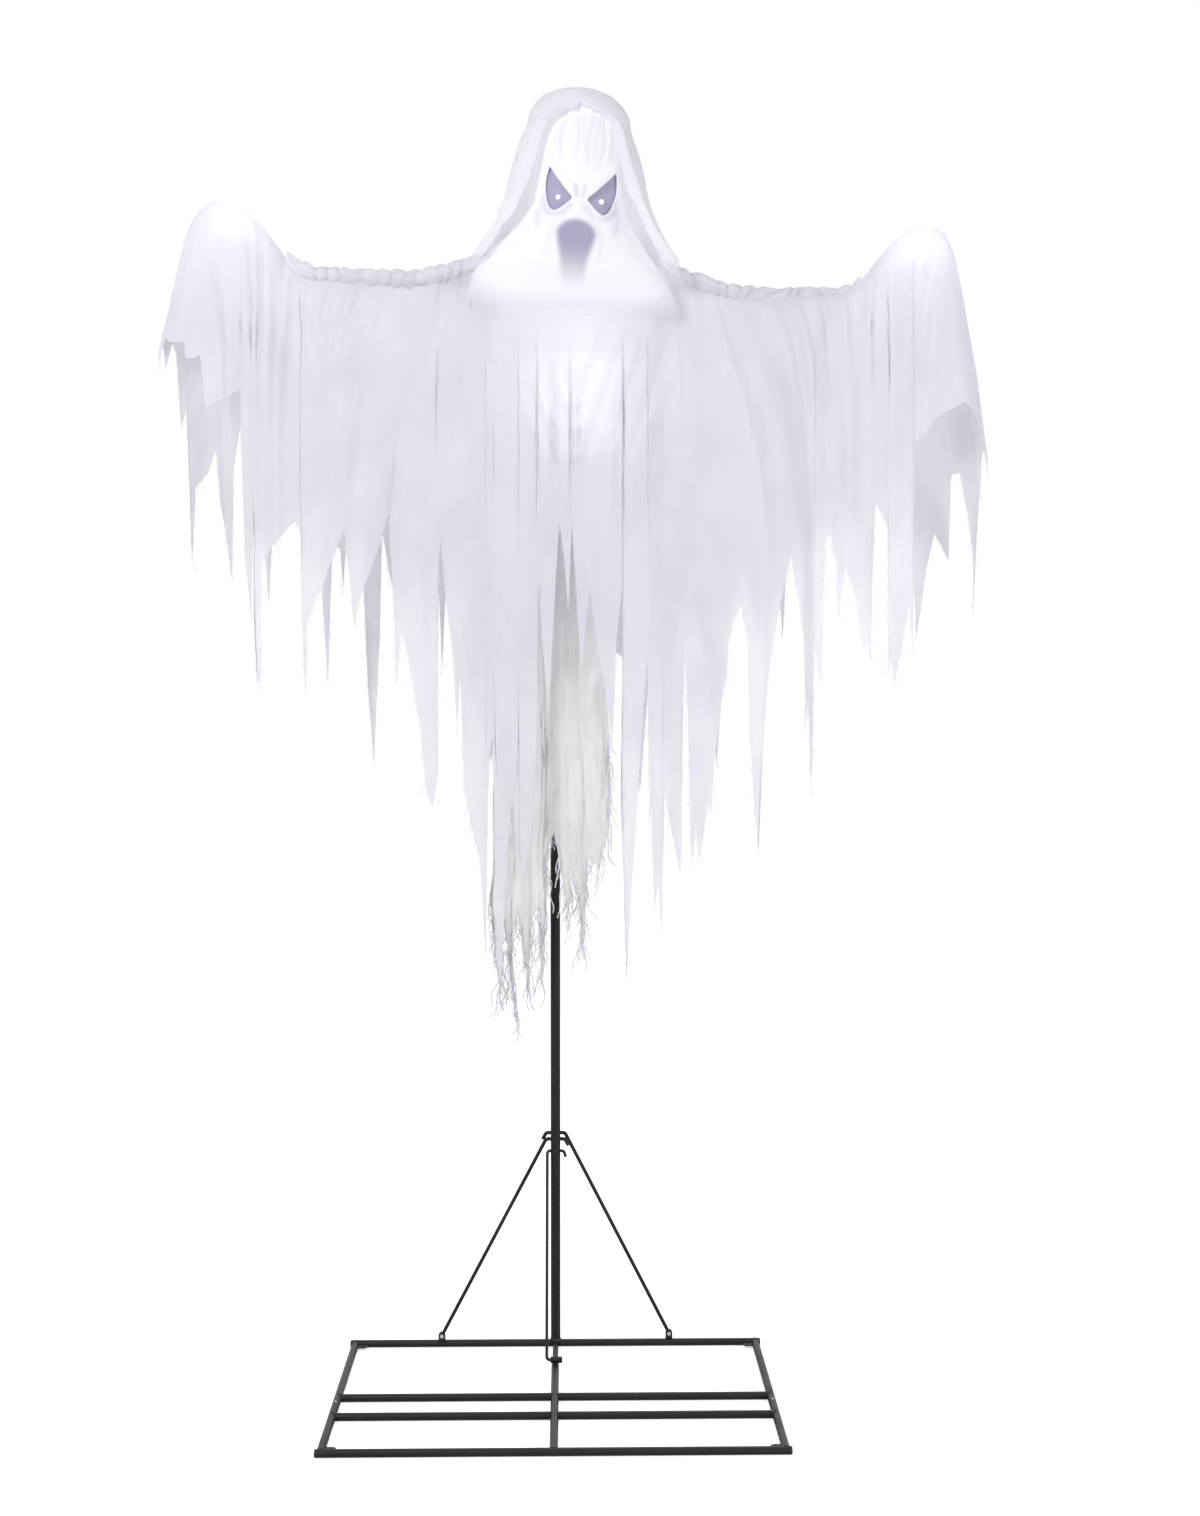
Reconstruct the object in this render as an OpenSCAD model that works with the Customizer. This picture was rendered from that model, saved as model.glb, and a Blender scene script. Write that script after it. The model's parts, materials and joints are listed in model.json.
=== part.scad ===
// Standing animated ghost: a hooded, ragged white robe over a lit head and two lit hands.
// A driven shoulder unit turns the head and lifts both arms. A steel pole carries it on a
// tube base made of two welded frames that plug together.

/* [Base] */
// Distance between the centre lines of the two side rails
base_width = 1056; // [900:1:1200]
// Distance from the rear tube to the front tube
base_depth = 720; // [660:1:800]
// Outer diameter of the base tubes
tube_d = 19; // [18:0.5:21]
// Wall of the base tubes
tube_wall = 1.2; // [1:0.1:1.5]
// Distance from the rear tube to the rear cross bar
rear_bar_y = 385; // [340:1:395]
// Distance from the rear tube to the front cross bar
front_bar_y = 505; // [485:1:540]
// Distance from the rear tube to the plug joint in the rails
rail_joint_y = 455; // [450:1:465]
// Length of the plug inside each rail joint
rail_plug_len = 45; // [40:1:50]
// Outer diameter of the swaged rear end of the centre rail
centre_neck_d = 14; // [12:0.5:14.5]
// Length of that swaged end
centre_neck_len = 150; // [120:1:155]
// Side length of the flat stake tabs in the corners
stake_tab = 24; // [20:1:30]
// Thickness of the stake tabs
stake_tab_t = 3; // [2:0.5:4]
// Diameter of the stake holes
stake_hole_d = 8; // [6:0.5:10]

/* [Pole and braces] */
// Outer diameter of the pole
pole_d = 25.4; // [24:0.1:28]
// Wall of the pole
pole_wall = 1.5; // [1.2:0.1:2]
// Height of the joint between the two pole sections
pole_joint_z = 1380; // [1200:1:1500]
// Length of the swaged plug at the pole joint
pole_plug_len = 90; // [70:1:120]
// Height of the pole's top end
pole_top_z = 2760; // [2745:1:2780]
// Diameter of the two side brace rods
brace_d = 10; // [8:0.5:11]
// Distance from the pole to each side brace's foot
brace_reach = 300; // [240:1:360]
// Height of the left brace's hole in the pole
brace_z = 554; // [480:1:620]
// Diameter of the front hook rod
hook_d = 8; // [6:0.5:9]
// Height of the front hook rod's hole in the pole
hook_z = 521; // [440:1:530]
// Distance from the pole to the front hook rod's foot
hook_foot_y = 177; // [170:1:220]

/* [Shoulder unit] */
// Sideways distance from the pole to the middle of the figure
pole_offset = 52; // [40:1:60]
// Distance from the pole forward to the plane of the arms
arm_plane = 55; // [52:0.5:60]
// Height of the two arm pivots
pivot_z = 2768; // [2740:1:2790]
// Distance from the middle of the figure to each arm pivot
pivot_x = 50; // [50:2.5:50]
// Teeth on each arm gear
arm_teeth = 40; // [40:1:40]
// Teeth on each motor pinion
pinion_teeth = 12; // [12:1:12]
// Teeth on the head gear
head_teeth = 36; // [36:1:36]
// Module of the head gears
head_module = 2; // [2:0.1:2]
// Width of all gear faces
gear_face = 10; // [8:0.5:12]
// Depth of the gear case, front to back
case_depth = 76; // [74:1:78]
// Wall of the gear case and the control box
case_wall = 3; // [2.5:0.1:3.5]
// Distance from the arm plane forward to the neck shaft
neck_forward = 52; // [51:0.5:56]
// Diameter of the neck shaft
neck_d = 12; // [10:0.5:13]
// Diameter of the arm pivot pins
pivot_d = 10; // [8:0.5:11]

/* [Arms] */
// Outer diameter of the arm tubes
arm_d = 16; // [14:0.5:17]
// Wall of the arm tubes
arm_wall = 1.2; // [1:0.1:2]
// Sideways lean of both arms, in degrees, towards the figure's left hand
arm_lean = 2; // [0:0.25:2.5]
// Length of each hand lamp's diffuser
hand_len = 132; // [120:1:136]
// Diameter of each hand lamp's diffuser
hand_d = 88; // [80:1:90]
// Wall of the lamp diffusers
lamp_wall = 2; // [1.5:0.1:3]

/* [Head] */
// Sideways lean of the head, in degrees
head_lean = 6; // [4:0.5:7]
// Largest radius of the head shell
head_r = 130; // [126:1:132]
// Wall of the mask and the head shell
mask_wall = 3; // [2:0.1:3.5]
// Diameter of the lit pupils
pupil_d = 12; // [9:0.5:13]

/* [Cloth] */
// Thickness of the robe cloth
cloth_t = 2.5; // [2:0.1:3]
// Height of the robe's upper edge
robe_top_z = 2768; // [2760:1:2768]
// Depth of the folds in the robe
fold_depth = 11; // [6:1:13]
// Distance from the arm plane back to the rear of the robe
robe_rear = 130; // [125:1:135]
// Height of the hood's lower edge
hood_hem_z = 2862; // [2858:1:2875]

/* [Hidden] */
$fn = 48;
// Gap between welded or seated faces
seat = 0.05;
// Radial clearance of plugs in tubes
plug_fit = 0.15;
// Radial clearance of a turning shaft
run_fit = 0.05;
// Radial clearance of a rod in its hole
rod_fit = 0.4;
// Clearance of a soft piece against what carries it
soft_fit = 0.3;
// A bend is this much thicker than the straight bar it runs into, and laps it by this angle
bend_step = 0.3;
bend_lap = 1.5;

tube_r = tube_d / 2;
tube_id = tube_d - 2 * tube_wall;
rail_plug_d = tube_id - 2 * plug_fit;
rail_plug_id = rail_plug_d - 2 * tube_wall;
pole_r = pole_d / 2;
pole_id = pole_d - 2 * pole_wall;
pole_plug_d = pole_id - 2 * plug_fit;
pole_plug_id = pole_plug_d - 2 * pole_wall;

pole_x = -pole_offset;
cloth_rear_reach = robe_rear + fold_depth + cloth_t / 2;
pole_y = (base_depth + tube_r + arm_plane - cloth_rear_reach) / 2;
arm_y = pole_y - arm_plane;
head_y = arm_y - neck_forward;
front_y = pole_y - base_depth;
left_x = pole_x - base_width / 2;
right_x = pole_x + base_width / 2;
rail_xs = [left_x, pole_x, right_x];

pressure_angle = 25;
backlash = 0.3;
arm_module = 2 * pivot_x / arm_teeth;
arm_pitch_r = arm_module * arm_teeth / 2;
arm_pinion_r = arm_module * pinion_teeth / 2;
arm_pinion_z = pivot_z - arm_pitch_r - arm_pinion_r;
head_pitch_r = head_module * head_teeth / 2;
head_pinion_r = head_module * pinion_teeth / 2;
head_pinion_angle = -30;
head_pinion_x = (head_pitch_r + head_pinion_r) * cos(head_pinion_angle);
head_pinion_y = head_y + (head_pitch_r + head_pinion_r) * sin(head_pinion_angle);
head_gear_face = 8;

case_half = 112;
case_top = pivot_z + 58;
case_bottom = pivot_z - 96;
case_front_y = arm_y - case_depth / 2;
case_rear_y = arm_y + case_depth / 2;
case_screw_xz = [for (sx = [-1, 1], z = [case_bottom + 9, case_top - 9]) [sx * (case_half - 9), z]];
case_screw_d = 4;
slot_half_z = 36;
slot_half_y = 17;

plate_t = 4;
plate_rear_y = pole_y - pole_r - seat;
plate_front_y = plate_rear_y - plate_t;
plate_bottom = 2345;
plate_left = pole_x - 32;
plate_right = 96;
clamp_zs = [2400, 2640];
clamp_t = 3;
clamp_h = 24;
clamp_screw_d = 5;
clamp_screw_dx = pole_r + 10;

box_half = 110;
box_bottom = 2330;
box_top = 2590;
box_depth = 58;
box_rear_y = plate_front_y - seat;
box_front_y = box_rear_y - box_depth;
lamp_depth = 34;
button_d = 10;
button_z = 2390;
inlet_z = 2430;

rail_button_y = pole_y - rail_joint_y + rail_plug_len / 2;
rail_button_r = 3;
rail_flange_r = 0.6 * rail_plug_id / 2;
joint_y = pole_y - rail_joint_y;
pole_seat_z = tube_d + 6;
spigot_low = tube_d - 2;
pole_button_z = pole_joint_z - pole_plug_len / 2;
pole_button_r = 4;
pole_flange_r = 0.55 * pole_plug_id / 2;
brace_dy = brace_d / 2 + 0.6;
brace_step = brace_d + 4;
lug_pin_z = tube_d + 13;
lug_pin_r = 3;
lug_r = 9;
eye_t = 6;
lug_t = 3;
sleeve_r = hook_d / 2 + 4;
sleeve_z = tube_d + sleeve_r - 0.5;
sleeve_foot = tube_r + centre_neck_d / 2 - 0.8;
bracket_t = 4;
bracket_top = case_top + bracket_t;
flange_t = 3;
head_gear_z = bracket_top + flange_t + soft_fit;
motor_r = 17;
motor_shaft_r = 3;

arm_start = 64;
arm_bend_x = 650;
arm_end = [772, 86];
arm_bend_r = 120;
arm_end_angle = atan2(arm_end[1], arm_end[0] - arm_bend_x);
ridge_base = (arm_d / 2 + soft_fit + cloth_t) / cos(arm_lean);

head_base_z = case_top + 14;
k_head = head_r / 130;
// Head and face, as heights above the head's base
jaw_height = 14;
head_outer = [[0, 402], [14, 402], [58, 380], [98, 325], [121, 245], [130, 145], [125, 55], [118.2, jaw_height]];
mask_outer = concat([for (i = [0:6]) head_outer[i]], [[109, -48]]);
eye_outline = [
    [80, 182], [87, 152], [84, 115], [72, 85], [58, 74], [40, 84],
    [26, 98], [19, 107], [34, 124], [50, 143], [66, 164]
];
mouth_outline = [
    [-40, 38], [-24, 56], [0, 63], [24, 56], [40, 38], [46, 14], [42, -10],
    [32, -28], [14, -39], [0, -41], [-14, -39], [-32, -28], [-42, -10], [-46, 14]
];
pupil = [54, 108];
eye_middle = [56, 125];
mouth_middle = [0, 10];
face_cut_front = -head_r - 30;
face_cut_rear = -40;
carrier_low = 50;
carrier_t = 6;
carrier_bar = 24;
carrier_front = 100;
hub_low = carrier_low - 20;
hub_top = carrier_low + 10;
hub_r = neck_d / 2 + 8;
carrier_r = k_head * lookup(carrier_low, [for (p = head_outer) [p[1], p[0]]]) - mask_wall - 0.4;
neck_seat = case_top + 70 + seat;

hoop_d = 6;
hoop_z = robe_top_z - 6;
hoop_front_y = arm_y - 90;
hoop_rear_y = arm_y + robe_rear - cloth_t / 2 - soft_fit - hoop_d / 2;
panel_front_y = hoop_front_y - hoop_d / 2 - soft_fit - cloth_t / 2;
panel_top_half = 150;
// Drop over which a panel spreads to its full width, and over which its folds deepen
robe_spread = 518;
// How far the sides of the front and back panels curve in towards the arms, and where that starts and ends
front_wrap = 48;
back_wrap = -66;
wrap_from = 130;
wrap_to = 380;
lining_spread = 1500;
fold_start = 60;
fold_run = 900;
lining_top_half = 100;
lining_y = arm_y + 12;
spread_rows = [0, 0.08, 0.3, 0.65];
strip_rows = [0, 0.2, 0.4, 0.6, 0.8, 1];

// Torn hem of the robe front, left to right: sideways place and height of each tip and notch
front_hem = [
    [-480, 2060], [-425, 1700], [-399, 2138], [-370, 1439], [-352, 2035], [-308, 1628], [-282, 1801],
    [-240, 1027], [-222, 1724], [-190, 962], [-158, 1491], [-133, 1258], [-101, 1985], [-73, 1664],
    [-41, 2154], [-20, 1923], [-6, 2159], [16, 1739], [38, 1980], [94, 1561], [112, 1978], [132, 967],
    [178, 1543], [216, 1092], [242, 1465], [268, 1263], [292, 1543], [318, 1271], [386, 1750],
    [465, 1309], [490, 2060]
];
// Torn hem of the lining, left to right
lining_hem = [
    [-235, 1120], [-223, 845], [-188, 1080], [-150, 860], [-118, 1120], [-72, 905], [-50, 1250],
    [-5, 1180], [36, 1025], [62, 1300], [93, 1180], [110, 1420]
];
// Torn hem of the left sleeve, inner end to cuff, as distances from the middle
left_hem = [
    [165, 2690], [230, 2440], [300, 2190], [370, 2060], [425, 1800], [445, 2100], [468, 1750],
    [490, 2185], [526, 1537], [552, 1983], [575, 1892], [598, 2112], [645, 1734], [672, 1957],
    [704, 1716], [722, 2151], [759, 1926], [793, 2060], [831, 1742], [862, 2475], [906, 2001],
    [940, 2345], [1008, 2060], [1026, 2436], [1041, 2413], [1056, 2617]
];
// Torn hem of the right sleeve, inner end to cuff
right_hem = [
    [165, 2690], [230, 2440], [300, 2190], [370, 2060], [425, 1850], [470, 2100], [532, 1737],
    [556, 2066], [611, 1470], [650, 2123], [681, 1921], [712, 2060], [756, 1568], [776, 2198],
    [812, 1737], [839, 2060], [866, 1840], [884, 2348], [908, 1861], [948, 2128], [978, 1928],
    [1004, 2281], [1046, 1934], [1056, 2332]
];
ridge_left = [
    [165, 0], [655, 0], [690, 8], [715, 20], [740, 44], [775, 88], [815, 136], [850, 166], [890, 176],
    [925, 172], [955, 150], [980, 112], [1005, 25], [1030, -85], [1060, -200]
];
ridge_right = [
    [165, 0], [655, 0], [690, 8], [715, 20], [740, 44], [775, 88], [815, 136], [850, 166], [890, 176],
    [925, 170], [950, 140], [970, 95], [995, -15], [1030, -195], [1060, -400]
];
sleeve_gap = [[165, 14], [700, 14], [800, 40], [830, 50], [940, 50], [1000, 40], [1060, 30]];
leg_rows = [1, 0.82, 0.64, 0.46, 0.28, 0.12, 0];
// Columns at the inner end whose front and rear legs are cut alike, clear of the control box
sleeve_inner = 4;

function unit(v) = v / norm(v);
function side_vector(d) = abs(d[2]) < 0.9 ? unit(cross([0, 0, 1], d)) : unit(cross([1, 0, 0], d));
function frame_at(o, x, y, z) = [
    [x[0], y[0], z[0], o[0]], [x[1], y[1], z[1], o[1]], [x[2], y[2], z[2], o[2]], [0, 0, 0, 1]
];
function turn_angle(a, b) = acos(max(-1, min(1, a * b)));
function lerp(a, b, t) = a + (b - a) * t;
function parity(i) = i % 2 == 0 ? -1 : 1;
function wrap_at(x) = let (t = min(1, max(0, (abs(x) - wrap_from) / (wrap_to - wrap_from)))) t * t * (3 - 2 * t);
function fold_at(down) = pow(min(1, max(0, (down - fold_start) / fold_run)), 0.7);

// Involute flank of a spur gear, in degrees from the tooth's middle
function involute(a) = tan(a) * 180 / PI - a;
function tooth_half(r, rp) = let (rb = rp * cos(pressure_angle), rr = max(r, rb))
    90 * backlash_share(rp) + involute(pressure_angle) - involute(acos(rb / rr));
function backlash_share(rp) = 1 / gear_teeth_at(rp) - backlash / (PI * rp);
function gear_teeth_at(rp) = rp == arm_pitch_r ? arm_teeth : rp == head_pitch_r ? head_teeth : pinion_teeth;
function polar(r, a) = [r * cos(a), r * sin(a)];
function gear_outline(rp, m) = let (
    n = gear_teeth_at(rp),
    rb = rp * cos(pressure_angle),
    ra = rp + m,
    rf = rp - 1.25 * m,
    rs = max(rb, rf),
    flank = [rs, rs + (ra - rs) * 0.35, rs + (ra - rs) * 0.7, ra]
) [for (i = [0:n - 1]) let (c = 360 / n * i) each concat(
    rf < rb ? [polar(rf, c - tooth_half(rb, rp))] : [],
    [for (r = flank) polar(r, c - tooth_half(r, rp))],
    [for (k = [3:-1:0]) polar(flank[k], c + tooth_half(flank[k], rp))],
    rf < rb ? [polar(rf, c + tooth_half(rb, rp))] : []
)];

// Faces of a thick sheet: nu columns of nv outer points, then the same number of inner points
function sheet_faces(nu, nv) = let (
    o = function (i, j) i * nv + j,
    k = function (i, j) nu * nv + i * nv + j
) concat(
    [for (i = [0:nu - 2], j = [0:nv - 2]) each [
        [o(i, j), o(i + 1, j), o(i + 1, j + 1)], [o(i, j), o(i + 1, j + 1), o(i, j + 1)],
        [k(i, j), k(i + 1, j + 1), k(i + 1, j)], [k(i, j), k(i, j + 1), k(i + 1, j + 1)]
    ]],
    [for (i = [0:nu - 2]) each [
        [o(i + 1, 0), o(i, 0), k(i, 0)], [o(i + 1, 0), k(i, 0), k(i + 1, 0)],
        [o(i, nv - 1), o(i + 1, nv - 1), k(i + 1, nv - 1)], [o(i, nv - 1), k(i + 1, nv - 1), k(i, nv - 1)]
    ]],
    [for (j = [0:nv - 2]) each [
        [o(0, j), o(0, j + 1), k(0, j + 1)], [o(0, j), k(0, j + 1), k(0, j)],
        [o(nu - 1, j + 1), o(nu - 1, j), k(nu - 1, j)], [o(nu - 1, j + 1), k(nu - 1, j), k(nu - 1, j + 1)]
    ]]
);
function flipped(faces) = [for (f = faces) [f[0], f[2], f[1]]];

// Solid cylinder from one point to another
module bar(a, b, d) {
    z = unit(b - a);
    x = side_vector(z);
    multmatrix(frame_at(a, x, cross(z, x), z)) cylinder(h = norm(b - a), d = d);
}

// Round bar along a list of points with rounded bends
module bent_bar(pts, d, r) {
    n = len(pts);
    dirs = [for (i = [0:n - 2]) unit(pts[i + 1] - pts[i])];
    turns = [for (i = [0:n - 3]) turn_angle(dirs[i], dirs[i + 1])];
    trims = concat([0], [for (a = turns) r * tan(a / 2)], [0]);
    for (i = [0:n - 2]) {
        bar(pts[i] + dirs[i] * trims[i], pts[i + 1] - dirs[i] * trims[i + 1], d - bend_step);
    }
    for (i = [0:n - 3]) {
        inward = unit(dirs[i + 1] - dirs[i] * cos(turns[i]));
        start = pts[i + 1] - dirs[i] * trims[i + 1];
        multmatrix(frame_at(start + inward * r, -inward, dirs[i], cross(-inward, dirs[i])))
            rotate(-bend_lap) rotate_extrude(angle = turns[i] + 2 * bend_lap) translate([r, 0]) circle(d = d);
    }
}

module tube_x(x0, x1, y, z, d, wall) {
    translate([x0, y, z]) rotate([0, 90, 0]) difference() {
        cylinder(h = x1 - x0, d = d);
        translate([0, 0, -1]) cylinder(h = x1 - x0 + 2, d = d - 2 * wall);
    }
}

module tube_y(x, y0, y1, z, d, wall) {
    translate([x, y0, z]) rotate([-90, 0, 0]) difference() {
        cylinder(h = y1 - y0, d = d);
        translate([0, 0, -1]) cylinder(h = y1 - y0 + 2, d = d - 2 * wall);
    }
}

module tube_z(x, y, z0, z1, d, wall) {
    translate([x, y, z0]) difference() {
        cylinder(h = z1 - z0, d = d);
        translate([0, 0, -1]) cylinder(h = z1 - z0 + 2, d = d - 2 * wall);
    }
}

// Cutters that shape a tube's end to the tube it is welded to
module saddle_x(y) {
    translate([left_x - 50, y, tube_r]) rotate([0, 90, 0]) cylinder(h = base_width + 100, r = tube_r + seat);
}

module saddle_y(x) {
    translate([x, front_y - 50, tube_r]) rotate([-90, 0, 0]) cylinder(h = base_depth + 100, r = tube_r + seat);
}

module pin_y(x, z, y0, y1, r) {
    translate([x, y1, z]) rotate([90, 0, 0]) cylinder(h = y1 - y0, r = r);
}

module rear_tube() {
    color("#1b1b1d") tube_x(left_x - tube_r, right_x + tube_r, pole_y, tube_r, tube_d, tube_wall);
}

module front_tube() {
    color("#1b1b1d") tube_x(left_x - tube_r, right_x + tube_r, front_y, tube_r, tube_d, tube_wall);
}

module rear_side_rails() {
    color("#1b1b1d") for (x = [left_x, right_x]) difference() {
        tube_y(x, joint_y, pole_y, tube_r, tube_d, tube_wall);
        saddle_x(pole_y);
        translate([x, rail_button_y, tube_r]) cylinder(h = tube_d, r = rail_button_r + 0.2);
    }
}

// Front half of a rail: tube, swaged shoulder and plug
module front_rail(x) {
    tube_y(x, front_y, joint_y - seat, tube_r, tube_d, tube_wall);
    tube_y(x, joint_y - 2, joint_y - seat, tube_r, tube_d, (tube_d - rail_plug_id) / 2);
    tube_y(x, joint_y - 2, joint_y + rail_plug_len, tube_r, rail_plug_d, tube_wall);
}

module front_side_rails() {
    color("#1b1b1d") for (x = [left_x, right_x]) difference() {
        front_rail(x);
        saddle_x(front_y);
        translate([x, rail_button_y, tube_r]) cylinder(h = tube_d, r = rail_button_r + 0.2);
    }
}

module front_centre_rail() {
    color("#1b1b1d") difference() {
        front_rail(pole_x);
        saddle_x(front_y);
    }
}

module rear_centre_rail() {
    neck_y = pole_y - centre_neck_len;
    color("#1b1b1d") difference() {
        union() {
            translate([pole_x, pole_y, tube_r]) rotate([90, 0, 0]) cylinder(h = centre_neck_len, d = centre_neck_d);
            translate([pole_x, neck_y, tube_r]) rotate([90, 0, 0])
                cylinder(h = 15, d1 = centre_neck_d, d2 = tube_d);
            translate([pole_x, neck_y - 15, tube_r]) rotate([90, 0, 0])
                cylinder(h = neck_y - 15 - joint_y, d = tube_d);
            translate([pole_x - 12, pole_y - hook_foot_y, sleeve_z]) rotate([0, 90, 0])
                cylinder(h = 30, r = sleeve_r);
            translate([pole_x, pole_y - hook_foot_y, sleeve_foot])
                cylinder(h = sleeve_z - sleeve_foot, r = sleeve_r / 2);
        }
        translate([pole_x, pole_y + 1, tube_r]) rotate([90, 0, 0])
            cylinder(h = centre_neck_len + 2, d = centre_neck_d - 2 * tube_wall);
        translate([pole_x, neck_y, tube_r]) rotate([90, 0, 0])
            cylinder(h = 15, d1 = centre_neck_d - 2 * tube_wall, d2 = tube_id);
        translate([pole_x, neck_y - 14.9, tube_r]) rotate([90, 0, 0]) cylinder(h = rail_joint_y, d = tube_id);
        translate([pole_x - 13, pole_y - hook_foot_y, sleeve_z]) rotate([0, 90, 0])
            cylinder(h = 32, r = hook_d / 2 + rod_fit);
        saddle_x(pole_y);
    }
}

// Both halves of a cross bar, cut to the rails they meet
module cross_bars(y) {
    for (xs = [[left_x, pole_x], [pole_x, right_x]]) difference() {
        tube_x(xs[0], xs[1], y, tube_r, tube_d, tube_wall);
        saddle_y(xs[0]);
        saddle_y(xs[1]);
    }
}

module rear_cross_bars() {
    color("#1b1b1d") cross_bars(pole_y - rear_bar_y);
}

module front_cross_bars() {
    color("#1b1b1d") cross_bars(pole_y - front_bar_y);
}

module end_cap() {
    r = tube_id / 2 - 0.1;
    rotate_extrude() polygon([
        [0, -12], [r, -12], [r, seat], [tube_r, seat], [tube_r, 2.2], [tube_r - 1.2, 3.8], [0, 4.8]
    ]);
}

module tube_end_caps() {
    color("#111112") for (y = [front_y, pole_y]) {
        translate([right_x + tube_r, y, tube_r]) rotate([0, 90, 0]) end_cap();
        translate([left_x - tube_r, y, tube_r]) rotate([0, -90, 0]) end_cap();
    }
}

module stake_tab_plate() {
    r = stake_tab * 0.45;
    translate([0, 0, tube_r - stake_tab_t / 2]) linear_extrude(stake_tab_t) difference() {
        union() {
            square([stake_tab - r, stake_tab]);
            square([stake_tab, stake_tab - r]);
            translate([stake_tab - r, stake_tab - r]) circle(r = r);
        }
        translate([stake_tab / 2, stake_tab / 2]) circle(d = stake_hole_d);
    }
}

module stake_tabs() {
    inset = tube_r + seat;
    color("#1b1b1d") {
        translate([left_x + inset, front_y + inset, 0]) stake_tab_plate();
        translate([right_x - inset, front_y + inset, 0]) mirror([1, 0, 0]) stake_tab_plate();
        translate([left_x + inset, pole_y - inset, 0]) mirror([0, 1, 0]) stake_tab_plate();
        translate([right_x - inset, pole_y - inset, 0]) mirror([1, 0, 0]) mirror([0, 1, 0]) stake_tab_plate();
    }
}

// Snap button: domed stem with a flange that stays inside the plug
module snap_button(stem_r, flange_r, bore_r, top) {
    f1 = sqrt(bore_r * bore_r - flange_r * flange_r) - 0.15;
    rotate_extrude() polygon([
        [0, f1 - 1.2], [flange_r, f1 - 1.2], [flange_r, f1], [stem_r, f1], [stem_r, top - 1.4],
        [stem_r - 1.2, top - 0.3], [0, top]
    ]);
}

module left_rail_button() {
    color("#b9bcc0") translate([left_x, rail_button_y, tube_r])
        snap_button(rail_button_r, rail_flange_r, rail_plug_id / 2, tube_r + 2);
}

module right_rail_button() {
    color("#b9bcc0") translate([right_x, rail_button_y, tube_r])
        snap_button(rail_button_r, rail_flange_r, rail_plug_id / 2, tube_r + 2);
}

module pole_spigot() {
    color("#1b1b1d") difference() {
        union() {
            translate([pole_x, pole_y, spigot_low])
                cylinder(h = pole_seat_z - spigot_low + 90, d = pole_id - 2 * plug_fit);
            translate([pole_x, pole_y, spigot_low])
                cylinder(h = pole_seat_z - spigot_low, d1 = pole_d + 6, d2 = pole_d);
        }
        translate([pole_x, pole_y, 0]) cylinder(h = pole_seat_z + 100, d = pole_id - 2 * plug_fit - 4);
        saddle_x(pole_y);
    }
}

module pole_lower() {
    color("#1b1b1d") difference() {
        tube_z(pole_x, pole_y, pole_seat_z + seat, pole_joint_z, pole_d, pole_wall);
        translate([pole_x - pole_d, pole_y - brace_dy, brace_z]) rotate([0, 90, 0])
            cylinder(h = 2 * pole_d, r = brace_d / 2 + rod_fit);
        translate([pole_x - pole_d, pole_y + brace_dy, brace_z + brace_step]) rotate([0, 90, 0])
            cylinder(h = 2 * pole_d, r = brace_d / 2 + rod_fit);
        translate([pole_x - pole_d, pole_y, hook_z]) rotate([0, 90, 0])
            cylinder(h = 2 * pole_d, r = hook_d / 2 + rod_fit);
        pin_y(pole_x, pole_button_z, pole_y - pole_d, pole_y, pole_button_r + 0.2);
    }
}

module pole_upper() {
    color("#1b1b1d") difference() {
        union() {
            tube_z(pole_x, pole_y, pole_joint_z + seat, pole_top_z, pole_d, pole_wall);
            tube_z(pole_x, pole_y, pole_joint_z + seat, pole_joint_z + 3, pole_d, (pole_d - pole_plug_id) / 2);
            tube_z(pole_x, pole_y, pole_joint_z - pole_plug_len, pole_joint_z + 3, pole_plug_d, pole_wall);
        }
        pin_y(pole_x, pole_button_z, pole_y - pole_d, pole_y, pole_button_r + 0.2);
    }
}

module pole_button() {
    color("#b9bcc0") translate([pole_x, pole_y, pole_button_z]) rotate([90, 0, 0])
        snap_button(pole_button_r, pole_flange_r, pole_plug_id / 2, pole_r + 2.5);
}

// Side brace: flat eye at the foot, straight rod, hook through the pole
module brace(side) {
    y = pole_y + side * brace_dy;
    z = brace_z + (side > 0 ? brace_step : 0);
    foot = [pole_x + side * brace_reach, y, lug_pin_z];
    knee = [pole_x + side * (pole_r + 12), y, z];
    out = [pole_x - side * (pole_r + 12), y, z];
    tip = out + [-side * 9, 0, -17];
    along = unit(knee - foot);
    difference() {
        union() {
            pin_y(foot[0], foot[2], y - eye_t / 2, y + eye_t / 2, lug_r - 1);
            multmatrix(frame_at(foot, cross([0, 1, 0], along), [0, 1, 0], along))
                translate([-4, -eye_t / 2 + 0.2, 0]) cube([8, eye_t - 0.4, 15]);
            bent_bar([foot + along * 12, knee, out, tip], brace_d, brace_d);
        }
        pin_y(foot[0], foot[2], y - brace_d, y + brace_d, lug_pin_r + 0.1);
    }
}

module left_brace() {
    color("#1b1b1d") brace(-1);
}

module right_brace() {
    color("#1b1b1d") brace(1);
}

module brace_lugs() {
    color("#1b1b1d") for (side = [-1, 1], k = [-1, 1]) {
        x = pole_x + side * brace_reach;
        y = pole_y + side * brace_dy + k * (eye_t / 2 + 0.2 + lug_t / 2);
        difference() {
            union() {
                pin_y(x, lug_pin_z, y - lug_t / 2, y + lug_t / 2, lug_r);
                translate([x - lug_r, y - lug_t / 2, tube_r]) cube([2 * lug_r, lug_t, lug_pin_z - tube_r]);
            }
            pin_y(x, lug_pin_z, y - lug_t, y + lug_t, lug_pin_r + 0.1);
            saddle_x(pole_y);
        }
    }
}

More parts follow.
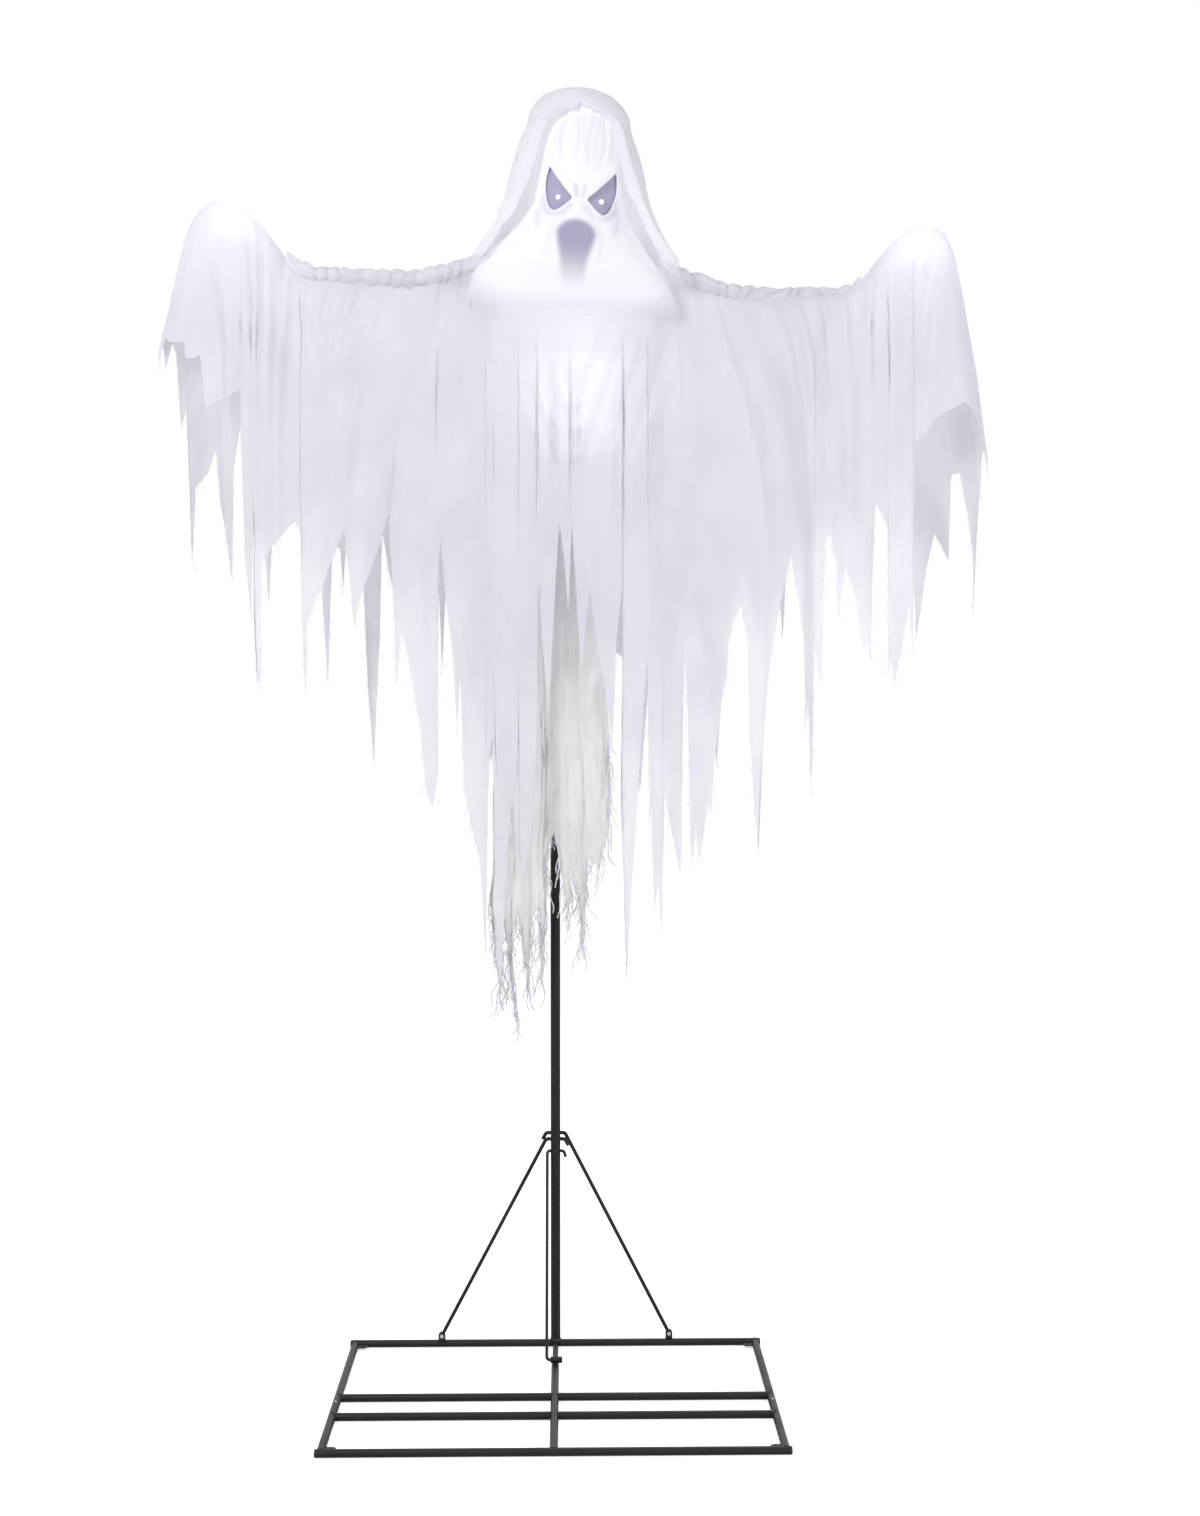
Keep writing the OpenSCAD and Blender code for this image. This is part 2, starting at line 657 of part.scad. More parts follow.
module brace_pins() {
    color("#8d9196") for (side = [-1, 1]) {
        x = pole_x + side * brace_reach;
        y = pole_y + side * brace_dy;
        half = eye_t / 2 + 0.2 + lug_t + seat;
        pin_y(x, lug_pin_z, y - half, y + half, lug_pin_r);
        pin_y(x, lug_pin_z, y - half - 2, y - half, lug_pin_r + 2);
        pin_y(x, lug_pin_z, y + half, y + half + 2, lug_pin_r + 2);
    }
}

module hook_rod() {
    foot_y = pole_y - hook_foot_y;
    left = pole_x - pole_r - 9;
    right = pole_x + pole_r + 9;
    color("#1b1b1d") bent_bar([
        [right + 5, pole_y, hook_z - 16], [right, pole_y, hook_z], [left, pole_y, hook_z],
        [left, foot_y, sleeve_z], [pole_x + 16, foot_y, sleeve_z]
    ], hook_d, hook_d);
}

module spine_plate() {
    color("#85898e") difference() {
        translate([plate_left, plate_front_y, plate_bottom])
            cube([plate_right - plate_left, plate_t, pivot_z + 20 - plate_bottom]);
        for (z = clamp_zs, k = [-1, 1])
            pin_y(pole_x + k * clamp_screw_dx, z, plate_front_y - 1, plate_rear_y + 1, clamp_screw_d / 2 + 0.1);
    }
}

module pole_clamps() {
    r = pole_r + seat;
    ear_y = plate_rear_y + seat;
    color("#85898e") for (z = clamp_zs) translate([0, 0, z - clamp_h / 2]) difference() {
        union() {
            translate([pole_x, pole_y, 0]) cylinder(h = clamp_h, r = r + clamp_t);
            translate([pole_x - r - clamp_t, ear_y, 0]) cube([2 * (r + clamp_t), pole_y - ear_y, clamp_h]);
            translate([pole_x - clamp_screw_dx - 8, ear_y, 0]) cube([2 * clamp_screw_dx + 16, clamp_t, clamp_h]);
        }
        translate([pole_x, pole_y, -1]) cylinder(h = clamp_h + 2, r = r);
        translate([pole_x - r, ear_y - 20, -1]) cube([2 * r, pole_y - ear_y + 20, clamp_h + 2]);
        translate([pole_x - 200, ear_y - 40, -1]) cube([400, 40, clamp_h + 2]);
        for (k = [-1, 1])
            pin_y(pole_x + k * clamp_screw_dx, clamp_h / 2, ear_y - 1, ear_y + 20, clamp_screw_d / 2 + 0.1);
    }
}

module clamp_screws() {
    ear_rear = plate_rear_y + seat + clamp_t;
    color("#b9bcc0") for (z = clamp_zs, k = [-1, 1]) {
        x = pole_x + k * clamp_screw_dx;
        pin_y(x, z, plate_front_y + 0.2, ear_rear + seat, clamp_screw_d / 2);
        pin_y(x, z, ear_rear + seat, ear_rear + seat + 3, clamp_screw_d / 2 + 2);
    }
}

// One half of the gear case between the arm plane and the outer face at y1
module gear_case_half(y1) {
    sgn = y1 > arm_y ? 1 : -1;
    y0 = arm_y + sgn * seat;
    lo = min(y0, y1);
    depth = abs(y1 - y0);
    h = case_top - case_bottom;
    inner_lo = sgn > 0 ? lo - 1 : lo + case_wall;
    difference() {
        union() {
            difference() {
                translate([-case_half, lo, case_bottom]) cube([2 * case_half, depth, h]);
                translate([-case_half + case_wall, inner_lo, case_bottom + case_wall])
                    cube([2 * (case_half - case_wall), depth - case_wall + 1, h - 2 * case_wall]);
            }
            for (p = case_screw_xz) pin_y(p[0], p[1], lo, lo + depth, 5.5);
        }
        for (p = case_screw_xz) pin_y(p[0], p[1], lo - 1, lo + depth + 1, case_screw_d / 2 + 0.1);
        for (x = [-pivot_x, pivot_x]) pin_y(x, pivot_z, lo - 1, lo + depth + 1, pivot_d / 2 + 0.03);
        translate([-case_half - 1, arm_y - slot_half_y, pivot_z - slot_half_z])
            cube([2 * case_half + 2, 2 * slot_half_y, 2 * slot_half_z]);
    }
}

module gear_case_rear() {
    color("#2b2b2e") gear_case_half(case_rear_y);
}

module gear_case_front() {
    color("#2b2b2e") gear_case_half(case_front_y);
}

module case_screws() {
    color("#b9bcc0") for (p = case_screw_xz) {
        pin_y(p[0], p[1], case_front_y - seat, case_rear_y - 4, case_screw_d / 2);
        pin_y(p[0], p[1], case_front_y - seat - 2.5, case_front_y - seat, case_screw_d / 2 + 1.8);
    }
}

module arm_pivot_pins() {
    color("#b9bcc0") for (x = [-pivot_x, pivot_x]) pin_y(x, pivot_z, case_front_y, case_rear_y, pivot_d / 2);
}

// Arm gear about its own pivot, with the socket for the arm tube pointing along the arm
module arm_gear(side) {
    hub_half = case_depth / 2 - case_wall - 0.6;
    difference() {
        union() {
            translate([0, gear_face / 2, 0]) rotate([90, 0, 0])
                linear_extrude(gear_face)
                    rotate(side > 0 ? 180 / arm_teeth : 0) polygon(gear_outline(arm_pitch_r, arm_module));
            pin_y(0, 0, -hub_half, hub_half, pivot_d / 2 + 5);
            along_arm(side) translate([30, -13, -13]) cube([78, 26, 26]);
        }
        pin_y(0, 0, -case_depth, case_depth, pivot_d / 2 + run_fit);
        along_arm(side) translate([arm_start - 2, 0, 0]) rotate([0, 90, 0]) cylinder(h = 60, d = arm_d + 0.2);
    }
}

// Turns the arm's own frame, outward along X, to the lean of the left or right arm
module along_arm(side) {
    if (side > 0) rotate([0, arm_lean, 0]) children();
    else mirror([1, 0, 0]) rotate([0, -arm_lean, 0]) children();
}

module at_pivot(side) {
    translate([side * pivot_x, arm_y, pivot_z]) children();
}

module left_arm_gear() {
    color("#e8e4d8") at_pivot(-1) arm_gear(-1);
}

module right_arm_gear() {
    color("#e8e4d8") at_pivot(1) arm_gear(1);
}

module arm_motor() {
    y0 = arm_y + gear_face / 2 + 3;
    color("#9a9da1") difference() {
        pin_y(-pivot_x, arm_pinion_z, y0, case_rear_y - case_wall - seat, motor_r);
        pin_y(-pivot_x, arm_pinion_z, y0 - 1, y0 + 11, motor_shaft_r + run_fit);
    }
}

module arm_pinion() {
    color("#e8e4d8") translate([-pivot_x, arm_y, arm_pinion_z]) {
        translate([0, gear_face / 2, 0]) rotate([90, 0, 0]) linear_extrude(gear_face)
            rotate(90 + 180 / pinion_teeth) polygon(gear_outline(arm_pinion_r, arm_module));
        pin_y(0, 0, 0, gear_face / 2 + 13, motor_shaft_r);
    }
}

module neck_bracket() {
    y0 = head_pinion_y - 22;
    color("#85898e") difference() {
        translate([-45, y0, case_top + seat]) cube([112, case_rear_y - 8 - y0, bracket_t - seat]);
        translate([0, head_y, case_top - 1]) cylinder(h = 10, r = neck_d / 2 + 3 + seat);
        translate([head_pinion_x, head_pinion_y, case_top - 1]) cylinder(h = 10, r = motor_shaft_r + 2);
    }
}

module neck_bushing() {
    color("#c9a24a") translate([0, head_y, 0]) difference() {
        union() {
            translate([0, 0, case_top - 8]) cylinder(h = 8 + bracket_t + 1, r = neck_d / 2 + 3);
            translate([0, 0, bracket_top + seat]) cylinder(h = flange_t - seat, r = neck_d / 2 + 7);
        }
        translate([0, 0, case_top - 20]) cylinder(h = 60, r = neck_d / 2 + run_fit);
    }
}

module neck_shaft() {
    color("#b9bcc0") translate([0, head_y, 0]) {
        translate([0, 0, case_top - 13]) cylinder(h = 83, d = neck_d);
        translate([0, 0, case_top - 13]) cylinder(h = 5 - soft_fit, r = neck_d / 2 + 4);
    }
}

module head_gear() {
    color("#e8e4d8") translate([0, head_y, head_gear_z]) difference() {
        linear_extrude(head_gear_face) polygon(gear_outline(head_pitch_r, head_module));
        translate([0, 0, -1]) cylinder(h = head_gear_face + 2, r = neck_d / 2 + 0.02);
    }
}

module head_motor() {
    color("#9a9da1") translate([head_pinion_x, head_pinion_y, 0]) difference() {
        translate([0, 0, case_top - 52]) cylinder(h = 52, r = motor_r);
        translate([0, 0, case_top - 11]) cylinder(h = 12, r = motor_shaft_r + run_fit);
    }
}

module head_pinion() {
    color("#e8e4d8") translate([head_pinion_x, head_pinion_y, 0]) {
        translate([0, 0, head_gear_z]) linear_extrude(head_gear_face)
            rotate(head_pinion_angle + 180 + 180 / pinion_teeth)
                polygon(gear_outline(head_pinion_r, head_module));
        translate([0, 0, case_top - 9]) cylinder(h = head_gear_z - case_top + 10, r = motor_shaft_r);
    }
}

module rounded_rect(w, h, r) {
    square([w - 2 * r, h], center = true);
    square([w, h - 2 * r], center = true);
    for (x = [-1, 1], y = [-1, 1]) translate([x * (w / 2 - r), y * (h / 2 - r)]) circle(r = r);
}

// Block with rounded corners seen from the front, between two places in Y
module front_block(w, h, r, z, y0, y1) {
    translate([0, y1, z]) rotate([90, 0, 0]) linear_extrude(y1 - y0) rounded_rect(w, h, r);
}

module control_box() {
    h = box_top - box_bottom;
    zc = (box_top + box_bottom) / 2;
    w = 2 * box_half;
    my = (box_front_y + box_rear_y) / 2;
    color("#2b2b2e") difference() {
        union() {
            difference() {
                front_block(w, h, 14, zc, box_front_y, box_rear_y);
                front_block(w - 2 * case_wall, h - 2 * case_wall, 11, zc, box_front_y - 1, box_rear_y - case_wall);
            }
            for (x = [-60, 60], z = [zc - 60, zc + 70]) pin_y(x, z, box_rear_y - case_wall - 8, box_rear_y - 1, 4);
            translate([box_half - 16, my, inlet_z]) rotate([0, 90, 0]) cylinder(h = 15, r = 7);
        }
        translate([box_half - 13, my, inlet_z]) rotate([0, 90, 0]) cylinder(h = 20, r = 3.2);
        translate([-box_half - 1, my, button_z]) rotate([0, 90, 0]) cylinder(h = 10, r = button_d / 2 + 0.2);
        for (a = [0:72:288])
            translate([-50 + 14 * cos(a), my + 14 * sin(a), box_bottom - 1]) cylinder(h = 10, r = 3);
    }
}

module chest_lamp() {
    h = box_top - box_bottom;
    zc = (box_top + box_bottom) / 2;
    w = 2 * box_half;
    y1 = box_front_y - seat;
    y0 = y1 - lamp_depth;
    color("#f4f1ff") difference() {
        union() {
            front_block(w, h, 14, zc, y0 + 8, y1);
            front_block(w - 24, h - 24, 20, zc, y0, y0 + 9);
        }
        front_block(w - 2 * lamp_wall, h - 2 * lamp_wall, 12, zc, y0 + 8 + lamp_wall, y1 + 1);
        front_block(w - 24 - 2 * lamp_wall, h - 24 - 2 * lamp_wall, 18, zc, y0 + lamp_wall, y1);
    }
}

module circuit_board() {
    zc = (box_top + box_bottom) / 2;
    y1 = box_rear_y - case_wall - 8 - seat;
    color("#2f6b3f") {
        front_block(150, 160, 3, zc + 5, y1 - 1.6, y1);
        translate([-40, y1 - 9.6, zc + 10]) cube([36, 8, 24]);
        translate([20, y1 - 13.6, zc - 20]) cube([18, 12, 18]);
    }
}

module speaker() {
    my = (box_front_y + box_rear_y) / 2;
    color("#3a3a3d") translate([-50, my, box_bottom + case_wall + seat]) rotate_extrude() polygon([
        [0, 6], [8, 6], [22, 0], [25, 0], [25, 3], [16, 12], [14, 24], [0, 24]
    ]);
}

module power_button() {
    my = (box_front_y + box_rear_y) / 2;
    color("#c23b34") translate([-box_half, my, button_z]) rotate([0, -90, 0]) rotate_extrude() polygon([
        [0, -12], [button_d / 2 + 2, -12], [button_d / 2 + 2, -case_wall - 0.2], [button_d / 2, -case_wall - 0.2],
        [button_d / 2, 4], [button_d / 2 - 1, 5], [0, 5]
    ]);
}

module robe_hoop() {
    xf = 95;
    color("#3a3a3d") {
        bent_bar([
            [-xf, case_front_y - seat, hoop_z], [-xf, hoop_front_y, hoop_z],
            [xf, hoop_front_y, hoop_z], [xf, case_front_y - seat, hoop_z]
        ], hoop_d, 25);
        bent_bar([
            [plate_left + 6, plate_rear_y + seat, hoop_z], [plate_left + 6, hoop_rear_y, hoop_z],
            [plate_right - 6, hoop_rear_y, hoop_z], [plate_right - 6, plate_rear_y + seat, hoop_z]
        ], hoop_d, 30);
    }
}

module arm_tube(side) {
    e = [cos(arm_end_angle), 0, sin(arm_end_angle)];
    end = [arm_end[0], 0, arm_end[1]];
    at_pivot(side) along_arm(side) difference() {
        bent_bar([[arm_start, 0, 0], [arm_bend_x, 0, 0], end], arm_d, arm_bend_r);
        bent_bar([[arm_start - 1, 0, 0], [arm_bend_x, 0, 0], end + e], arm_d - 2 * arm_wall, arm_bend_r);
    }
}

module left_arm_tube() {
    color("#85898e") arm_tube(-1);
}

module right_arm_tube() {
    color("#85898e") arm_tube(1);
}

// Egg-shaped diffuser with a neck that grips the end of the arm tube
module hand_lamp(side) {
    half = hand_len / 2;
    neck_r = arm_d / 2 + 4;
    a0 = asin(neck_r / (hand_d / 2));
    outer = [for (k = [0:9]) let (a = lerp(180 - a0, 0, k / 9)) [hand_d / 2 * sin(a), half * cos(a)]];
    ai = asin((neck_r - lamp_wall) / (hand_d / 2 - lamp_wall));
    inner = [for (k = [9:-1:0]) let (a = lerp(180 - ai, 0, k / 9))
        [(hand_d / 2 - lamp_wall) * sin(a), (half - lamp_wall) * cos(a)]];
    bore = arm_d / 2 + 0.1;
    seat_z = inner[9][1];
    at_pivot(side) along_arm(side)
        translate([arm_end[0], 0, arm_end[1]]) rotate([0, 90 - arm_end_angle, 0])
            translate([0, 0, -seat_z])
                rotate_extrude() polygon(concat(
                    [[bore, seat_z - 30], [neck_r, seat_z - 30]], outer, inner, [[bore, seat_z]]
                ));
}

module left_hand_lamp() {
    color("#f4f1ff") hand_lamp(-1);
}

module right_hand_lamp() {
    color("#f4f1ff") hand_lamp(1);
}

// Places the head's own frame on its base at the neck and leans it
module leaned() {
    translate([0, head_y, head_base_z]) rotate([0, head_lean, 0]) children();
}

// Head profile moved inwards by a wall, with its lower edge kept
function head_skin(pts, inset) = [for (i = [0:len(pts) - 1]) let (
    dr = i == 0 ? 0 : i == 1 ? 0.4 : 1,
    dz = i < 2 ? 1 : i == 2 ? 0.8 : i == len(pts) - 1 ? 0 : 0.3
) [max(0, k_head * pts[i][0] - dr * inset), pts[i][1] - dz * inset]];
function reversed(v) = [for (i = [len(v) - 1:-1:0]) v[i]];

module head_carrier() {
    color("#2b2b2e") difference() {
        leaned() {
            intersection() {
                translate([0, 0, carrier_low]) cylinder(h = carrier_t, r = carrier_r);
                union() {
                    translate([-head_r, -carrier_bar / 2, carrier_low]) cube([2 * head_r, carrier_bar, carrier_t]);
                    translate([-carrier_bar / 2, -carrier_front, carrier_low])
                        cube([carrier_bar, carrier_front + head_r, carrier_t]);
                }
            }
            translate([0, 0, hub_low]) cylinder(h = hub_top - hub_low, r = hub_r);
        }
        translate([0, head_y, case_top - 26]) cylinder(h = neck_seat - case_top + 26, r = neck_d / 2 + 0.03);
    }
}

module head_shell() {
    color("#e9e6f2") leaned() translate([0, seat, 0]) rotate_extrude(angle = 180)
        polygon(concat(head_skin(head_outer, 0), reversed(head_skin(head_outer, mask_wall))));
}

module face_cut(outline) {
    translate([0, face_cut_rear, 0]) rotate([90, 0, 0])
        linear_extrude(face_cut_rear - face_cut_front) polygon(outline);
}

function mirrored(v) = [for (p = v) [-p[0], p[1]]];
function about(v, c, k) = [for (p = v) c + (p - c) * k];

module mask() {
    color("#f1eef9") leaned() difference() {
        rotate([0, 0, 180]) rotate_extrude(angle = 180)
            polygon(concat(head_skin(mask_outer, 0), reversed(head_skin(mask_outer, mask_wall))));
        face_cut(eye_outline);
        face_cut(mirrored(eye_outline));
        face_cut(mouth_outline);
        for (k = [-1, 1]) translate([k * 110 - 40, face_cut_front, jaw_height - 154]) cube([80, 200, 154]);
    }
}

module face_screens() {
    color("#a9a7bd") leaned() difference() {
        intersection() {
            rotate([0, 0, 180]) rotate_extrude(angle = 180) polygon(concat(
                head_skin(mask_outer, mask_wall + 0.1), reversed(head_skin(mask_outer, mask_wall + 1.3))
            ));
            union() {
                face_cut(about(eye_outline, eye_middle, 1.14));
                face_cut(mirrored(about(eye_outline, eye_middle, 1.14)));
                face_cut(about(mouth_outline, mouth_middle, 1.1));
            }
        }
        for (k = [-1, 1]) pin_y(k * pupil[0], pupil[1], face_cut_front, -60, pupil_d / 2 + 0.1);
    }
}

module eye_lights() {
    y = -sqrt(pow(k_head * 128 - mask_wall, 2) - pow(pupil[0] + pupil_d / 2 + 2, 2));
    color("#ffffff") leaned() for (k = [-1, 1]) {
        pin_y(k * pupil[0], pupil[1], y - 9, y + 8, pupil_d / 2);
        pin_y(k * pupil[0], pupil[1], y + 2.4, y + 6, pupil_d / 2 + 2);
    }
}

module head_lamp() {
    color("#fffdf4") leaned() translate([0, 0, hub_top + seat]) rotate_extrude() polygon([
        [0, 0], [13, 0], [13, 16], [20, 26], [24, 40], [23, 54], [16, 66], [7, 72], [0, 73]
    ]);
}

// Hood: rows from the crown to the hem, columns from one front edge round the back to the other
hood_rows = [
    [3, 404.8, 2], [45, 404.8, 2], [86, 392, 5], [126, 335, 22], [148, 262, 36], [160, 190, 43],
    [170, 130, 46], [184, 78, 48], [210, hood_hem_z - head_base_z, 50]
];
hood_columns = 24;
hood_depth = 0.85;
hood_fold = 7;

function hood_point(i, j, inset) = let (
    row = hood_rows[j],
    half = 180 - row[2],
    a = lerp(-half, half, i / (hood_columns - 1)),
    fold = (parity(i) * 0.5 + 0.5) * hood_fold * j / 8,
    r = row[0] + fold - (j == 0 ? 0 : inset),
    z = row[1] - (j < 2 ? inset : j < 4 ? 0.5 * inset : 0)
) [r * sin(a), hood_depth * r * cos(a), z];

module hood() {
    nv = len(hood_rows);
    pts = concat(
        [for (i = [0:hood_columns - 1], j = [0:nv - 1]) hood_point(i, j, 0)],
        [for (i = [0:hood_columns - 1], j = [0:nv - 1]) hood_point(i, j, cloth_t)]
    );
    color("#eeecf8") leaned() polyhedron(points = pts, faces = sheet_faces(hood_columns, nv), convexity = 8);
}

// Hanging panel: columns spread from the upper edge, then hang straight to the torn hem, and fold more towards it
module panel(hem, top_half, top_z, y_top, drift, spread, wrap = 0) {
    nu = len(hem);
    nm = len(spread_rows);
    nv = nm + len(strip_rows);
    place = function (i, j, off) let (
        middle = top_z - spread > hem[i][1] ? top_z - spread : (top_z + hem[i][1]) / 2,
        z = j < nm ? lerp(top_z, middle, spread_rows[j]) : lerp(middle, hem[i][1], strip_rows[j - nm]),
        down = top_z - z,
        top_x = lerp(-top_half, top_half, (hem[i][0] - hem[0][0]) / (hem[nu - 1][0] - hem[0][0])),
        x = lerp(top_x, hem[i][0], min(1, down / spread)),
        hang_y = y_top + drift * min(1, down / fold_run) + wrap * wrap_at(x)
    ) [x, hang_y + parity(i) * fold_depth * fold_at(down) + off, z];
    pts = concat(
        [for (i = [0:nu - 1], j = [0:nv - 1]) place(i, j, -cloth_t / 2)],
        [for (i = [0:nu - 1], j = [0:nv - 1]) place(i, j, cloth_t / 2)]
    );
    polyhedron(points = pts, faces = sheet_faces(nu, nv), convexity = 10);
}

module robe_front() {
    color("#eceaf6") panel(front_hem, panel_top_half, robe_top_z, panel_front_y, -16, robe_spread, front_wrap);
}

// Torn hem of the robe back: evenly spread strips of varied length
back_half = 480;
back_step = 40;
back_notch_z = 1900;
back_tip_z = 1180;
back_tip_vary = 150;
back_hem = [for (i = [0:24]) let (x = -back_half + back_step * i)
    [x, i % 2 == 0 ? back_notch_z + 0.35 * abs(x) : back_tip_z + 0.75 * abs(x) + back_tip_vary * sin(137 * i)]];

module robe_back() {
    color("#e6e4f0") panel(back_hem, panel_top_half, robe_top_z, arm_y + robe_rear, 0, robe_spread, back_wrap);
}

module robe_lining() {
    color("#dedad6") panel(lining_hem, lining_top_half, box_bottom - soft_fit, lining_y, 0, lining_spread);
}

// Sleeve: a sheet laid over the arm, with a front and a rear leg that end in torn strips
module sleeve(side, hem, ridge) {
    nu = len(hem);
    nl = len(leg_rows);
    lean = tan(arm_lean) * (side > 0 ? -1 : 1);
    place = function (i, j, grow) let (
        x = hem[i][0],
        g = lookup(x, sleeve_gap),
        top = pivot_z + ridge_base + lookup(x, ridge) + lean * (x - pivot_x),
        zc = top - cloth_t - g,
        rear = j >= nl + 5,
        t = j < nl ? leg_rows[j] : rear ? leg_rows[2 * nl + 4 - j] : 0,
        low = min(zc - 20, hem[rear && i >= sleeve_inner ? min(i + 1, nu - 1) : i][1]),
        bulge = g + grow + parity(i) * 0.8 * fold_depth * pow(t, 0.7),
        arc = 180 - 30 * (j - nl + 1)
    ) j < nl || rear
        ? [x, (rear ? 1 : -1) * bulge, lerp(zc, low, t)]
        : [x, (g + grow) * cos(arc), zc + (g + grow) * sin(arc)];
    rows = 2 * nl + 5;
    pts = concat(
        [for (i = [0:nu - 1], j = [0:rows - 1]) place(i, j, cloth_t)],
        [for (i = [0:nu - 1], j = [0:rows - 1]) place(i, j, 0)]
    );
    translate([0, arm_y, 0]) mirror([side > 0 ? 0 : 1, 0, 0])
        polyhedron(points = pts, faces = sheet_faces(nu, rows), convexity = 10);
}

module left_sleeve() {
    color("#efedf8") sleeve(-1, left_hem, ridge_left);
}

module right_sleeve() {
    color("#efedf8") sleeve(1, right_hem, ridge_right);
}

rear_tube();
front_tube();
rear_side_rails();
front_side_rails();
rear_centre_rail();
front_centre_rail();
rear_cross_bars();
front_cross_bars();
tube_end_caps();
stake_tabs();
left_rail_button();
right_rail_button();
pole_spigot();
pole_lower();
pole_upper();
pole_button();
left_brace();
right_brace();
brace_lugs();
brace_pins();
hook_rod();
spine_plate();
pole_clamps();
clamp_screws();
gear_case_rear();
gear_case_front();
case_screws();
arm_pivot_pins();
left_arm_gear();
right_arm_gear();
arm_motor();
arm_pinion();
neck_bracket();
neck_bushing();
neck_shaft();
head_gear();
head_motor();
head_pinion();
control_box();
chest_lamp();
circuit_board();
speaker();
power_button();
robe_hoop();
left_arm_tube();
right_arm_tube();
left_hand_lamp();
right_hand_lamp();
head_carrier();
head_shell();
mask();
face_screens();
eye_lights();
head_lamp();
hood();
robe_front();
robe_back();
robe_lining();
left_sleeve();
right_sleeve();
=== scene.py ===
# %% [markdown]
# # A lit ghost on a pole stand
# The object is a tall animated figure: a black steel stand, a pole, a small drive that turns the head and
# lifts two arms, lamps in the head, chest and hands, and a torn robe of sheer cloth over all of it.
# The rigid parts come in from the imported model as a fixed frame. Blender adds the cloth, the face and the finishes.

# %% Load the frame
import json
import math
import bpy
import numpy as np
from mathutils import Matrix, Vector
from mathutils.bvhtree import BVHTree
from mathutils.geometry import delaunay_2d_cdt


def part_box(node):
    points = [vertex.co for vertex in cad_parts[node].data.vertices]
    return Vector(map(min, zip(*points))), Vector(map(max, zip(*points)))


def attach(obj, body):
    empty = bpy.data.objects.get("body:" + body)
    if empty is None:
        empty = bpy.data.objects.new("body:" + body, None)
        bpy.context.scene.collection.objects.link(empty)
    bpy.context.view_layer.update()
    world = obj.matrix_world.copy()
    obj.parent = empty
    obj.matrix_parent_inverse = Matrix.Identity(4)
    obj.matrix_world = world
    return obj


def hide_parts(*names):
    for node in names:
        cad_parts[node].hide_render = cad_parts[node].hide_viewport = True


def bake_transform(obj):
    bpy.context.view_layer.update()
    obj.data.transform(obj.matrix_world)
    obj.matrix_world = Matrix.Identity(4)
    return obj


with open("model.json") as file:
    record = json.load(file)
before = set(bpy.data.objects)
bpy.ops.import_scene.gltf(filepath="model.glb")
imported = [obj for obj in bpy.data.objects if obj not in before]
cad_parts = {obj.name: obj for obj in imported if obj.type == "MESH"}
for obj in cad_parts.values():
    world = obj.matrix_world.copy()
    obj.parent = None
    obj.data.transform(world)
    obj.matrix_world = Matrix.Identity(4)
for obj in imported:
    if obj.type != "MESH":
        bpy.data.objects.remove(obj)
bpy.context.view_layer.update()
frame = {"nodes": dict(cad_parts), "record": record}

nodes = frame["nodes"]

# %% [markdown]
# ## Places on the figure
# Every later step needs the same few places: the plane of the arms, the axis of the head and the centres of the
# lamps. They could be typed in, but reading them from the boxes of the solids keeps cloth and hardware together.

# %% Key places, read from the solids
def middle(node):
    low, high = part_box(node)
    return (Vector(low) + Vector(high)) / 2


left_lamp, right_lamp = middle("left_hand_lamp"), middle("right_hand_lamp")
chest = middle("chest_lamp")
arm_y = (left_lamp.y + right_lamp.y) / 2
pivot_x, pivot_z = 0.050, 2.768
arm_lean = math.tan(math.radians(2.0))
arm_start = 0.165  # where the gathering on the arm begins, from the middle
cuff_x = 1.058  # the end of each sleeve
neckline_z = 2.748
head_y = middle("neck_shaft").y
head_base = Vector((0.0, head_y, 2.840))
head_lean = Matrix.Rotation(math.radians(6.0), 4, "Y")
pole = middle("pole_upper")
print("arm plane y", round(arm_y, 4), "head axis y", round(head_y, 4), "pole", tuple(round(v, 3) for v in pole))

# %% [markdown]
# ## Camera and light
# The photograph is taken from about the height of the figure's waist, straight in front. A camera is placed there
# from the stand's four corners and the lengths of the tubes. The floor is a pale matt sheet, and soft lamps
# keep the robe below clipping, because a sheer white cloth shows its folds only in its shades.

# %% Camera
def add(name, data):
    """A new object in the scene."""
    thing = bpy.data.objects.new(name, data)
    bpy.context.collection.objects.link(thing)
    return thing


sensor_mm, focal_px, photo_px = 36.0, 1888.9, 1516
camera = add("camera", bpy.data.cameras.new("camera"))
camera.location = (-0.0205, -4.621, 1.7277)
camera.rotation_euler = (math.radians(90 - 1.98), 0, math.radians(-0.994))
camera.data.sensor_fit = "VERTICAL"
camera.data.sensor_height = sensor_mm
camera.data.lens = sensor_mm * focal_px / photo_px
camera.data.clip_end = 60
bpy.context.scene.camera = camera
bpy.context.scene.view_settings.view_transform = "Standard"
print("lens", round(camera.data.lens, 2), "mm")


# %% Lamps
def area_lamp(name, place, target, size, power):
    data = bpy.data.lights.new(name, "AREA")
    data.shape = "DISK"
    data.size = size
    data.energy = power
    lamp = add(name, data)
    lamp.location = place
    lamp.rotation_euler = (Vector(target) - Vector(place)).to_track_quat("-Z", "Y").to_euler()


area_lamp("key_lamp", (-2.6, -3.6, 4.6), (0, 0.2, 1.9), 1.6, 108)
area_lamp("fill_lamp", (3.2, -3.0, 2.2), (0, 0.2, 1.7), 2.4, 46)
area_lamp("rim_lamp", (0.6, 3.4, 4.4), (0, 0.2, 2.0), 1.6, 46)

